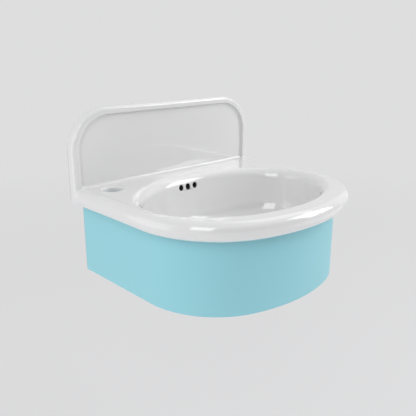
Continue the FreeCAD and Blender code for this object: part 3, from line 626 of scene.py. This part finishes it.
    def lip_distance(self, x, y):
        """Plan distance to the lip's ellipse."""
        half_x, half_y = self.sizes.lip_x, self.sizes.lip_y
        along = y + self.sizes.bowl_y
        near = np.sqrt((x / half_x) ** 2 + (along / half_y) ** 2) + TINY
        steep = np.sqrt((x / half_x ** 2) ** 2 + (along / half_y ** 2) ** 2) + TINY
        return near * (near - 1.0) / steep

    def plan(self, x, y):
        """Plan distance to the outline of the rim."""
        s = self.sizes
        return bow_distance(x, y, s.width / 2, s.depth, s.corner, s.front)

    def top_height(self, x, y):
        """Height of deck, bead and bowl over a plan point; outside the bead's crest it climbs away."""
        s = self.sizes
        outside = self.plan(x, y) + s.top_round
        in_front = -(s.bowl_y + y) / (self.FRONT_BLEND * s.bowl_y)
        part = np.clip(np.maximum(1.0 + outside / s.bead_foot, in_front), 0.0, 1.0)
        deck = s.bead * part * part * (3.0 - 2.0 * part) + np.maximum(outside, 0.0) ** 2 / s.top_round
        return soft_min(deck, self.bowl_height(x, y), self.LIP_ROUND)

    def leans(self, x, y):
        """Height over true distance on the slopes of the bowl's inside and outside."""
        step = 0.0005
        found = []
        for height in (self.top_height, self.under_height):
            slope_x = (height(x + step, y) - height(x - step, y)) / (2.0 * step)
            slope_y = (height(x, y + step) - height(x, y - step)) / (2.0 * step)
            found.append(np.sqrt(1.0 + slope_x ** 2 + slope_y ** 2))
        return found

    def rim(self, x, y, z):
        """Block of the rim with its rounded edges, solid over the bowl."""
        s = self.sizes
        edge = self.plan(x, y)
        middle = 0.5 * (s.bead - s.rim_drop)
        half = 0.5 * (s.bead + s.rim_drop)
        upper = rounded(edge, z - middle - half, min(s.top_round, half))
        lower = rounded(edge, middle - z - half, min(s.bottom_round, half))
        return np.where(z > middle, upper, lower)

    def skirt_outline(self, x, y, outset):
        """Plan distance to the skirt's outline, moved outwards."""
        return bow_distance(x, y, *skirt_plan(self.sizes, self.skirt, outset))

    def back(self, x, y, z):
        """Back panel with its round corners, before the panel is sunk."""
        s = self.sizes
        upper = rounded(np.abs(x) - s.width / 2, z - s.back_height, s.back_corner)
        lower = rounded(np.abs(x) - s.width / 2, -s.rim_drop - z, s.bottom_round)
        outline = np.where(z > 0.0, upper, lower)
        return rounded(outline, -y - s.back_thickness, s.back_edge)

    def air(self, x, y, z, above):
        """Space in front of the panel and above deck and bowl; in front of the border it widens."""
        s = self.sizes
        wider = np.maximum(-y - s.back_thickness - self.FILLET, 0.0)
        inner = rounded(np.abs(x) - s.width / 2 + s.border - wider, z - s.back_height + s.border - wider,
                        s.back_corner - s.border)
        corner = rounded(y + s.panel, above, s.crease)
        return rounded(corner, inner, self.EDGE_ROUND)

    def distance(self, x, y, z, leans):
        """Distance to the whole casting."""
        s = self.sizes
        above = (self.top_height(x, y) - z) / leans[0]
        below = (self.under_height(x, y) - z) / leans[1]
        under = np.maximum(self.skirt_outline(x, y, self.CHANNEL_OUT), z + s.deck)
        channel = np.maximum(under, -self.skirt_outline(x, y, self.CHANNEL_IN))
        roll = self.rim(x, y, z)
        rim = soft_min(roll, self.back(x, y, z), self.FILLET)
        rim = np.maximum(rim, np.maximum(np.abs(x) - s.width / 2, -s.rim_drop - z))
        rim = soft_max(rim, -under, self.EDGE_ROUND)
        shell = np.maximum(below, self.lip_distance(x, y))
        shell = soft_max(shell, -channel, self.EDGE_ROUND)
        shell = np.where(z > -s.deck, np.maximum(shell, roll), shell)
        fillet = self.FILLET * np.clip(-z / s.deck, self.FILLET_LEAST_SHARE, 1.0)
        solid = soft_min(rim, self.stiffening(x, y, z), self.FILLET)
        solid = soft_min(solid, shell, fillet)
        crisp = self.FINE_ROUND * (1.0 + np.clip(z / s.crease - 0.5, 0.0, 1.0))
        solid = soft_max(solid, -self.air(x, y, z, above), crisp)
        solid = self.drilled(solid, x, y, z)
        return np.maximum(np.maximum(solid, y), self.BOSS_FOOT - z)

    def stiffening(self, x, y, z):
        """Wall apron, ribs, overflow duct and waste boss under the deck."""
        side = np.abs(x)
        apron, rib, duct, foot = [box_distance(side, y, z, *block)
                                  for block in (self.APRON, self.RIB, self.DUCT, self.DUCT_FOOT)]
        boss = np.maximum(np.hypot(x, y + self.sizes.bowl_y) - self.BOSS_RADIUS, z - self.FLOOR)
        parts = soft_min(apron, rib, self.FILLET)
        return np.minimum(soft_min(parts, duct, self.FILLET), np.minimum(foot, boss))

    def drilled(self, solid, x, y, z):
        """The casting with its holes and passages."""
        waste = np.hypot(x, y + self.sizes.bowl_y)
        tap = np.hypot(x - self.TAP_AT[0], y - self.TAP_AT[1]) - self.TAP_RADIUS
        solid = soft_max(solid, -tap, self.TAP_ROUND)
        seat = np.maximum(waste - self.SEAT_RADIUS, self.SEAT_LEVEL - z)
        solid = soft_max(solid, -np.minimum(seat, waste - self.WASTE_RADIUS), self.FINE_ROUND)
        front, back = self.PASSAGE_Y
        passage = box_distance(np.abs(x), y, z, (-1.0, front, self.PASSAGE_FOOT),
                               (self.PASSAGE_HALF, back, -self.sizes.deck))
        link = np.hypot(x, z - self.LINK_LEVEL) - self.LINK_RADIUS
        link = np.maximum(link, np.maximum(y - self.PASSAGE_MIDDLE, self.LINK_FRONT - y))
        solid = np.maximum(solid, -np.minimum(passage, link))
        nearest = np.clip(np.round(x / self.OVERFLOW_PITCH), -1, 1) * self.OVERFLOW_PITCH
        hole = np.hypot(x - nearest, z - self.OVERFLOW_Z) - self.OVERFLOW_RADIUS
        hole = np.maximum(hole, np.maximum(y - self.PASSAGE_MIDDLE, self.OVERFLOW_FRONT - y))
        solid = soft_max(solid, -hole, self.OVERFLOW_ROUND)
        bolt = np.hypot(np.abs(x) - self.BOLT_AT[0], z - self.BOLT_AT[1]) - self.BOLT_RADIUS
        return soft_max(solid, -np.maximum(bolt, self.BOLT_FRONT - y), self.FINE_ROUND)

    def mesh(self):
        """Points, faces and normals of the surface."""
        s = self.sizes
        band, margin, longest_move = 3.0, 2.5 * s.cell, 0.6 * s.cell
        low = np.array([-s.width / 2, -s.depth, self.BOSS_FOOT]) - margin
        high = np.array([s.width / 2, 0.0, s.back_height]) + margin
        count = np.ceil((high - low) / s.cell).astype(int) + 1
        x, y, z = [low[axis] + s.cell * np.arange(count[axis]) for axis in range(3)]
        across, along = x[:, None, None], y[None, :, None]
        field = self.distance(across, along, z[None, None, :], self.leans(across, along))
        field = np.clip(field / s.cell, -band, band).astype(np.float32)
        grid = openvdb.FloatGrid(band)
        grid.copyFromArray(field)
        points, faces = grid.convertToQuads(isovalue=0.0)
        points = points.astype(float) * s.cell + low
        for _ in range(2):
            value, slope = self.value_and_slope(points)
            steepness = np.sqrt((slope ** 2).sum(1) + TINY)
            move = np.clip(value / steepness, -longest_move, longest_move)
            points = points - slope * (move / steepness)[:, None]
        _, slope = self.value_and_slope(points)
        normals = slope / np.linalg.norm(slope, axis=1)[:, None]
        return points, faces, normals

    def value_and_slope(self, points):
        """Distance at points near the surface, and its slope along the axes."""
        step = 0.0002
        leans = self.leans(points[:, 0], points[:, 1])
        value = self.distance(*points.T, leans)
        slope = np.empty_like(points)
        for axis in range(3):
            shift = np.zeros(3)
            shift[axis] = step
            ahead = self.distance(*(points + shift).T, leans)
            behind = self.distance(*(points - shift).T, leans)
            slope[:, axis] = (ahead - behind) / (2.0 * step)
        return value, slope


def bow_path(half, depth, corner, front, step):
    """Points and outward directions round an outline, from the wall at the right to the left."""
    corner_x, corner_y, front_y = bow_middles(half, depth, corner, front)
    bend = math.atan2(corner_x, front_y - corner_y)
    spots = []
    for part in np.linspace(0.0, 1.0, max(2, int(-corner_y / step)))[:-1]:
        spots.append((half, corner_y * part, 1.0, 0.0))
    for angle in np.linspace(0.0, bend - math.pi / 2, int(corner / step))[:-1]:
        way = (math.cos(angle), math.sin(angle))
        spots.append((corner_x + corner * way[0], corner_y + corner * way[1], *way))
    for angle in np.linspace(bend - math.pi / 2, -math.pi / 2, int(front * bend / step)):
        way = (math.cos(angle), math.sin(angle))
        spots.append((front * way[0], front_y + front * way[1], *way))
    spots += [(-px, py, -wx, wy) for px, py, wx, wy in reversed(spots[:-1])]
    return np.array(spots)


def tube_faces(rows, around):
    """Faces of a closed section that is carried along so many rows, with both ends."""
    faces = [tuple(range(around)), tuple(reversed(range((rows - 1) * around, rows * around)))]
    for row in range(rows - 1):
        for spot in range(around):
            after = (spot + 1) % around
            faces.append((row * around + spot, (row + 1) * around + spot,
                          (row + 1) * around + after, row * around + after))
    return faces


def sweep(path, section):
    """Points and faces of a closed section carried along a path; the section is outset and height."""
    outset, height = np.array(section).T
    points = np.empty((len(path), len(section), 3))
    points[:, :, 0] = path[:, 0, None] + path[:, 2, None] * outset[None, :]
    points[:, :, 1] = path[:, 1, None] + path[:, 3, None] * outset[None, :]
    points[:, :, 2] = height[None, :]
    return points.reshape(-1, 3), tube_faces(len(path), len(section))


def turned(profile, around=96):
    """Points and faces of a section turned about an upright axis; it runs anticlockwise."""
    ways = np.linspace(0.0, 2.0 * math.pi, around, endpoint=False)
    points, rows, faces = [], [], []
    for radius, height in profile:
        first = len(points)
        if np.max(radius) == 0.0:
            rows.append([first] * around)
            points.append((0.0, 0.0, height))
        else:
            rows.append(range(first, first + around))
            spots = zip(np.broadcast_to(radius, around), ways)
            points += [(out * math.cos(way), out * math.sin(way), height) for out, way in spots]
    for low, high in zip(rows, rows[1:] + rows[:1]):
        for step in range(around):
            after = (step + 1) % around
            corners = list(dict.fromkeys((low[step], low[after], high[after], high[step])))
            if len(corners) > 2:
                faces.append(corners)
    return np.array(points), faces


def arc(out, height, radius, start, steps=5):
    """A quarter turn of a section's edge, anticlockwise from an angle in quarter turns."""
    angles = np.linspace(start, start + 1.0, steps) * math.pi / 2
    return [(out + radius * math.cos(angle), height + radius * math.sin(angle)) for angle in angles]


def ring_section(inner, outer, low, high, edge):
    """A ring's section with rounded edges."""
    return (arc(inner + edge, low + edge, edge, 2) + arc(outer - edge, low + edge, edge, 3)
            + arc(outer - edge, high - edge, edge, 0) + arc(inner + edge, high - edge, edge, 1))


def plug_section(outer, low, high, waste):
    """Section of the domed plug cap, its socket and the bore in it."""
    dome_points, edge_share = 14, 0.4
    foot = low + waste.socket
    edge = edge_share * waste.plug_edge
    rim = high - foot - waste.plug_edge
    crown = (outer ** 2 + rim ** 2) / (2.0 * rim)
    dome = [(out, high - crown + math.sqrt(crown ** 2 - out ** 2))
            for out in np.linspace(outer - 2.0 * edge, 0.0, dome_points)]
    section = [(0.0, foot), (waste.spindle, foot), (waste.spindle, low)]
    section += arc(waste.socket - waste.edge, low + waste.edge, waste.edge, 3)
    section += [(waste.socket, foot)] + arc(outer - edge, foot + edge, edge, 3)
    return section + arc(outer - edge, foot + waste.plug_edge - edge, edge, 0)[:-1] + dome


def nut_section(corner, bore, low, high, around=96):
    """Section of a hexagon nut with turned corners; its radius varies round the axis."""
    chamfer = 0.0006
    turned_share, turned_slope = 0.975, 1.73
    depths = [0.0, 0.0003, 0.0007, 0.0012, 0.0018, 0.0024]
    ways = np.linspace(0.0, 2.0 * math.pi, around, endpoint=False)
    flat = corner * math.cos(math.pi / 6)
    hexagon = flat / np.cos(ways % (math.pi / 3) - math.pi / 6)
    sides = [(np.minimum(hexagon, turned_share * flat + turned_slope * depth), depth) for depth in depths]
    section = [(bore, low + chamfer), (bore + chamfer, low)]
    section += [(side, low + depth) for side, depth in sides]
    section += [(side, high - depth) for side, depth in reversed(sides)]
    return section + [(bore + chamfer, high), (bore, high - chamfer)]


def coil(radius, wire, low, high, turns):
    """Points and faces of a round wire wound with closed ends."""
    per_turn, around, blend = 28, 12, 5
    closed_turns, closed_wires = 0.9, 2.1
    wound = np.linspace(0.0, turns, int(turns * per_turn))
    rise = high - low
    closed = closed_wires * wire / rise
    climb = np.interp(wound, [0.0, closed_turns, turns - closed_turns, turns],
                      [0.0, closed, 1.0 - closed, 1.0])
    mean = np.ones(2 * blend + 1) / (2 * blend + 1)
    climb[blend:-blend] = np.convolve(climb, mean, "valid")
    angle = 2.0 * math.pi * wound
    middle = np.stack([radius * np.cos(angle), radius * np.sin(angle), low + rise * climb], 1)
    ahead = np.gradient(middle, axis=0)
    ahead /= np.linalg.norm(ahead, axis=1)[:, None]
    out = np.stack([np.cos(angle), np.sin(angle), 0.0 * angle], 1)
    up = np.cross(out, ahead)
    points = []
    for centre, way, side in zip(middle, out, up):
        for turn in np.linspace(0.0, 2.0 * math.pi, around, endpoint=False):
            points.append(centre + wire * (way * math.cos(turn) + side * math.sin(turn)))
    return np.array(points), tube_faces(len(middle), around)


def smoothed(outline, rounds=3):
    """A closed outline with its corners cut off again and again."""
    spots = np.array(outline)
    for _ in range(rounds):
        after = np.roll(spots, -1, axis=0)
        spots = np.stack([0.75 * spots + 0.25 * after, 0.25 * spots + 0.75 * after], 1).reshape(-1, 2)
    return spots


def wing(outline, thick):
    """Points and faces of a flat wing with rounded edges, upright in X and Z."""
    edges = ((0.90, -0.5), (0.97, -0.36), (1.0, 0.0), (0.97, 0.36), (0.90, 0.5))
    spots = smoothed(outline)
    middle = spots.mean(0)
    layers = []
    for share, level in edges:
        flat = middle + share * (spots - middle)
        layers.append(np.stack([flat[:, 0], np.full(len(flat), level * thick), flat[:, 1]], 1))
    return np.concatenate(layers), tube_faces(len(edges), len(spots))


def joined(parts):
    """Points and faces of several forms as one."""
    points, faces = [], []
    for part_points, part_faces in parts:
        faces += [tuple(corner + len(points) for corner in face) for face in part_faces]
        points += [tuple(point) for point in part_points]
    return np.array(points), faces


def wing_nut():
    """A wing nut on its seat at the origin, pointing up."""
    bore, throat, foot, neck, height = 0.00255, 0.0029, NUT_RADIUS, 0.0044, 0.0060
    chamfer, shoulder, thick = 0.0004, 0.0006, 0.0019
    hub = [(bore, chamfer), (throat, 0.0)] + arc(foot - chamfer, chamfer, chamfer, 3)
    hub += arc(neck - shoulder, height - shoulder, shoulder, 0)
    hub += [(throat, height), (bore, height - chamfer)]
    ear = [(0.0034, 0.0021), (0.0078, 0.0021), (0.0119, 0.0058), (0.0122, 0.0120),
           (0.0094, 0.0123), (0.0064, 0.0094), (0.0052, 0.0052), (0.0034, 0.0048)]
    right, faces = wing(ear, thick)
    left = right * (-1.0, -1.0, 1.0)
    return joined([turned(hub, around=40), (right, faces), (left, faces)])


def new_piece(name, node, body, slot, form, material, crease=None):
    """A piece that stands for a node of the frame."""
    thing = new_object(name, *form, material)
    if crease:
        thing.data.set_sharp_from_angle(angle=math.radians(crease))
    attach(thing, body)
    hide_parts(node)
    return thing


class HANDBASIN_OT_casting(bpy.types.Operator):
    """Builds the glazed casting"""

    bl_idname = "hand_basin.casting"
    bl_label = "Glazed casting"

    def execute(self, context):
        sizes = settings()
        points, faces, normals = Casting(sizes.casting, sizes.skirt).mesh()
        basin = new_piece("glazed_basin", "basin", BODY, "glaze", (points, faces), glaze_finish())
        basin.data.normals_split_custom_set_from_vertices(normals)
        return {"FINISHED"}


class HANDBASIN_OT_skirt(bpy.types.Operator):
    """Builds the coated skirt and finishes its edge trim"""

    bl_idname = "hand_basin.skirt"
    bl_label = "Skirt"

    def execute(self, context):
        sizes, skirt = settings().casting, settings().skirt
        path = bow_path(*skirt_plan(sizes, skirt), skirt.step)
        edge_points = 9
        half = skirt.sheet / 2
        section = []
        for centre, start in ((-skirt.top - half, 0.0), (-skirt.drop + half, math.pi)):
            for angle in np.linspace(start, start + math.pi, edge_points):
                section.append((-half + half * math.cos(angle), centre + half * math.sin(angle)))
        new_piece("coated_skirt", "skirt", BODY, "skirt_coat", sweep(path, section), coat_finish())
        dress_node("skirt_edge_trim", plastic_finish("soft_trim", settings().finishes.trim, rough=0.55))
        return {"FINISHED"}


class HANDBASIN_OT_fixings(bpy.types.Operator):
    """Builds and finishes the brackets, studs, nuts and bushes that hold basin and skirt"""

    bl_idname = "hand_basin.fixings"
    bl_label = "Fixings"

    def execute(self, context):
        tones = settings().finishes
        plate = {"tone": tones.zinc, "rough": 0.28, "stretch": (1.0, 1.0, 6.0)}
        zinc = metal_finish("zinc_plate", **plate)
        for node in ("skirt_bracket_left", "skirt_bracket_right", "skirt_stud_washers"):
            dress_node(node, zinc)
        dress_node("skirt_weld_studs", metal_finish("zinc_thread", thread=stud_thread, **plate))
        form = joined(self.nuts())
        new_piece("wing_nuts", "skirt_wing_nuts", BODY, "zinc_steel", form, zinc, crease=40.0)
        dress_node("wall_bolt_bushes", plastic_finish("nylon", tones.nylon, rough=0.40))
        return {"FINISHED"}

    def nuts(self):
        """Wing nuts at both sides, each pointing away from the skirt."""
        points, faces = wing_nut()
        low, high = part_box("skirt_wing_nuts")
        along = (low[1] + high[1]) / 2
        for side in (-1.0, 1.0):
            turn = np.array([(0.0, 1.0, 0.0), (0.0, 0.0, -side), (-side, 0.0, 0.0)])
            for up in (low[2] + NUT_RADIUS, high[2] - NUT_RADIUS):
                yield points @ turn + (side * high[0], along, up), faces


class HANDBASIN_OT_waste(bpy.types.Operator):
    """Builds and finishes the waste and the push-open cartridge"""

    bl_idname = "hand_basin.waste"
    bl_label = "Waste"

    def execute(self, context):
        tones = settings().finishes
        plate = {"tone": tones.chrome, "waves": 60.0, "depth": 0.000004}
        chrome = metal_finish("chrome_plate", rough=0.04, **plate)
        screwed = metal_finish("chrome_thread", rough=0.06, thread=waste_thread, **plate)
        brass = metal_finish("turned_brass", tones.brass, rough=0.25, stretch=(1.0, 1.0, 14.0))
        rubber = plastic_finish("black_rubber", tones.rubber, rough=0.60)
        acetal = plastic_finish("acetal", tones.acetal, rough=0.35)
        steel = metal_finish("spring_wire", tones.steel, rough=0.22)
        dress_node("waste_body", screwed)
        dress_node("cartridge_body", acetal)
        dress_node("plug_spindle", brass)
        waste = settings().waste
        for name, node, body, slot, inner, material in [
            ("flange_ring", "waste_flange_seal", BODY, "seal_rubber", waste.thread, rubber),
            ("boss_ring", "waste_lower_seal", BODY, "seal_rubber", waste.thread, rubber),
            ("slip_ring", "waste_slip_washer", BODY, "acetal", waste.thread, acetal),
            ("screwed_cap", "cartridge_cap", BODY, "brass", waste.spindle, brass),
            ("plug_ring", "plug_seal", PLUG, "seal_rubber", waste.seal, rubber),
        ]:
            outer, low, high = self.reach(node)
            form = self.on_axis(turned(ring_section(inner, outer, low, high, waste.edge)))
            new_piece(name, node, body, slot, form, material, crease=40.0)
        outer, low, high = self.reach("waste_back_nut")
        form = self.on_axis(turned(nut_section(outer, waste.thread, low, high)))
        new_piece("hexagon_nut", "waste_back_nut", BODY, "brass", form, brass, crease=20.0)
        outer, low, high = self.reach("plug_cap")
        form = self.on_axis(turned(plug_section(outer, low, high, waste)))
        new_piece("domed_plug", "plug_cap", PLUG, "chrome", form, chrome, crease=40.0)
        outer, low, high = self.reach("plug_spring")
        wire = waste.wire
        form = self.on_axis(coil(outer - wire, wire, low + wire, high - wire, waste.turns))
        spring = new_piece("wound_spring", "plug_spring", BODY, "spring_steel", form, steel)
        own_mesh(spring)
        return {"FINISHED"}

    def reach(self, node):
        """Radius of a turned node, and its lowest and highest level."""
        low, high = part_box(node)
        return high[0], low[2], high[2]

    def on_axis(self, form):
        """A form moved on to the axis of the waste."""
        points, faces = form
        return points + (0.0, -settings().waste.setback, 0.0), faces


class HANDBASIN_OT_stage(bpy.types.Operator):
    """Sets the floor, the light and the camera"""

    bl_idname = "hand_basin.stage"
    bl_label = "Stage"

    def execute(self, context):
        stage = settings().stage
        scene = context.scene
        scene.view_settings.view_transform = "Standard"
        self.camera(scene, stage)
        self.floor(stage)
        self.world(scene, stage)
        for name, place, width, height, power in [
            ("left_box", (-1.25, -0.89, 0.93), 0.66, 0.91, 5.7),
            ("right_box", (1.23, -1.09, 0.77), 0.82, 0.91, 9.4),
            ("left_back_wall", (-1.68, 0.62, 0.33), 1.54, 1.77, 6.7),
            ("right_wall", (1.78, -0.26, 0.65), 1.02, 1.77, 1.2),
            ("right_top", (1.09, -0.20, 1.56), 1.38, 1.02, 3.5),
            ("low_right", (0.65, -0.74, -0.31), 0.84, 0.32, 0.25),
        ]:
            self.lamp(scene, name, place, width, height, power)
        bounce_size = 1.57
        above_floor = (0.0, -0.21, 0.05 - stage.floor)
        bounce = self.lamp(scene, "floor_bounce", above_floor, bounce_size, bounce_size, 3.7)
        bounce.visible_glossy = False
        return {"FINISHED"}

    def camera(self, scene, stage):
        """The camera, level across and turned and lifted about the basin."""
        lens = bpy.data.cameras.new("camera")
        lens.lens = stage.lens
        lens.sensor_width = 36.0
        lens.clip_start = 0.01
        camera = bpy.data.objects.new("camera", lens)
        scene.collection.objects.link(camera)
        turn, lift = stage.azimuth, stage.elevation
        back = Vector((math.sin(turn) * math.cos(lift), -math.cos(turn) * math.cos(lift), math.sin(lift)))
        right = Vector((math.cos(turn), math.sin(turn), 0.0))
        up = back.cross(right)
        camera.matrix_world = Matrix((
            (right.x, up.x, back.x, stage.camera_at[0]),
            (right.y, up.y, back.y, stage.camera_at[1]),
            (right.z, up.z, back.z, stage.camera_at[2]),
            (0.0, 0.0, 0.0, 1.0)))
        scene.camera = camera

    def floor(self, stage):
        """A matt floor that looks as pale as the background and keeps a faint shadow."""
        pale = rgba(settings().finishes.background)
        near, blend, shadowless, half = 0.8, 2.0, 0.75, 12.0
        finish = Finish("pale_floor")
        across, along, _ = finish.axes()
        far = ((across * across + along * along) ** 0.5 - near) / blend
        matt = finish.node("ShaderNodeBsdfDiffuse", {}, {0: pale})[0]
        plain = finish.node("ShaderNodeEmission", {}, {0: pale, 1: 1.0})[0]
        share = (far.clamped() * (1.0 - shadowless) + shadowless) * finish.sees_background()
        finish.finished(finish.node("ShaderNodeMixShader", {}, {0: share, 1: matt, 2: plain})[0])
        corners = [(-half, -half, -stage.floor), (half, -half, -stage.floor),
                   (half, half, -stage.floor), (-half, half, -stage.floor)]
        new_object("floor", corners, [(0, 1, 2, 3)], finish.material)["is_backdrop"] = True

    def world(self, scene, stage):
        """Pale surroundings, darker in front of the basin as in a studio."""
        front_way = (-0.087, -0.996, 0.0)
        shade_from, shade_blend, shade_on_light = 0.60, 0.12, 0.3
        world = bpy.data.worlds.new("studio")
        world.use_nodes = True
        scene.world = world
        nodes = Nodes(world.node_tree)
        pale = rgba(settings().finishes.background)
        way = nodes.node("ShaderNodeTexCoord", {}, {})[0]
        front = nodes.node("ShaderNodeVectorMath", {"operation": "DOT_PRODUCT"},
                           {0: way, 1: front_way})[1]
        direct = nodes.node("ShaderNodeLightPath", {}, {})[0]
        shade = stage.front_shade * ((front - shade_from) / shade_blend).clamped()
        seen = nodes.sees_background()
        mirrored = (1.0 - shade * (1.0 - direct)) * seen
        lighting = stage.ambient * (1.0 - shade_on_light * shade) * (1.0 - seen)
        strength = mirrored + lighting
        light = nodes.node("ShaderNodeBackground", {}, {0: pale, 1: strength})[0]
        nodes.node("ShaderNodeOutputWorld", {}, {0: light})

    def lamp(self, scene, name, place, width, height, power):
        """A rectangular lamp that faces the bowl and isn't seen itself."""
        bowl = Vector((0.0, -0.2, 0.0))
        light = bpy.data.lights.new(name, "AREA")
        light.shape = "RECTANGLE"
        light.size = width
        light.size_y = height
        light.energy = power
        lamp = bpy.data.objects.new(name, light)
        scene.collection.objects.link(lamp)
        lamp.location = place
        aim = bowl - lamp.location
        lamp.visible_camera = False
        lamp.rotation_euler = aim.to_track_quat("-Z", "Y").to_euler()
        return lamp


class HANDBASIN_PT_panel(bpy.types.Panel):
    """Lists the basin's pieces and settings"""

    bl_idname = "HANDBASIN_PT_panel"
    bl_label = "Hand basin"
    bl_space_type = "VIEW_3D"
    bl_region_type = "UI"
    bl_category = "Hand basin"

    def draw(self, context):
        for name in OPERATORS:
            self.layout.operator("hand_basin." + name)
        basin = settings()
        for group in (basin.casting, basin.skirt, basin.waste, basin.finishes, basin.stage):
            box = self.layout.box()
            for name in group.__annotations__:
                box.prop(group, name)


OPERATORS = ("casting", "skirt", "fixings", "waste", "stage")
CLASSES = (
    CastingSizes, SkirtSizes, WasteSizes, Finishes, StageSettings, HandBasinSettings,
    HANDBASIN_OT_casting, HANDBASIN_OT_skirt, HANDBASIN_OT_fixings, HANDBASIN_OT_waste,
    HANDBASIN_OT_stage, HANDBASIN_PT_panel,
)


def register():
    for kind in CLASSES:
        bpy.utils.register_class(kind)
    bpy.types.Scene.hand_basin = PointerProperty(type=HandBasinSettings)


def unregister():
    del bpy.types.Scene.hand_basin
    for kind in reversed(CLASSES):
        bpy.utils.unregister_class(kind)


def main():
    register()
    for name in OPERATORS:
        getattr(bpy.ops.hand_basin, name)()
    boxes = {"cad": CAD_BOX, "visual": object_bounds()}
    {name: [list(corner) for corner in box] for name, box in boxes.items()}


if __name__ == "__main__":
    main()
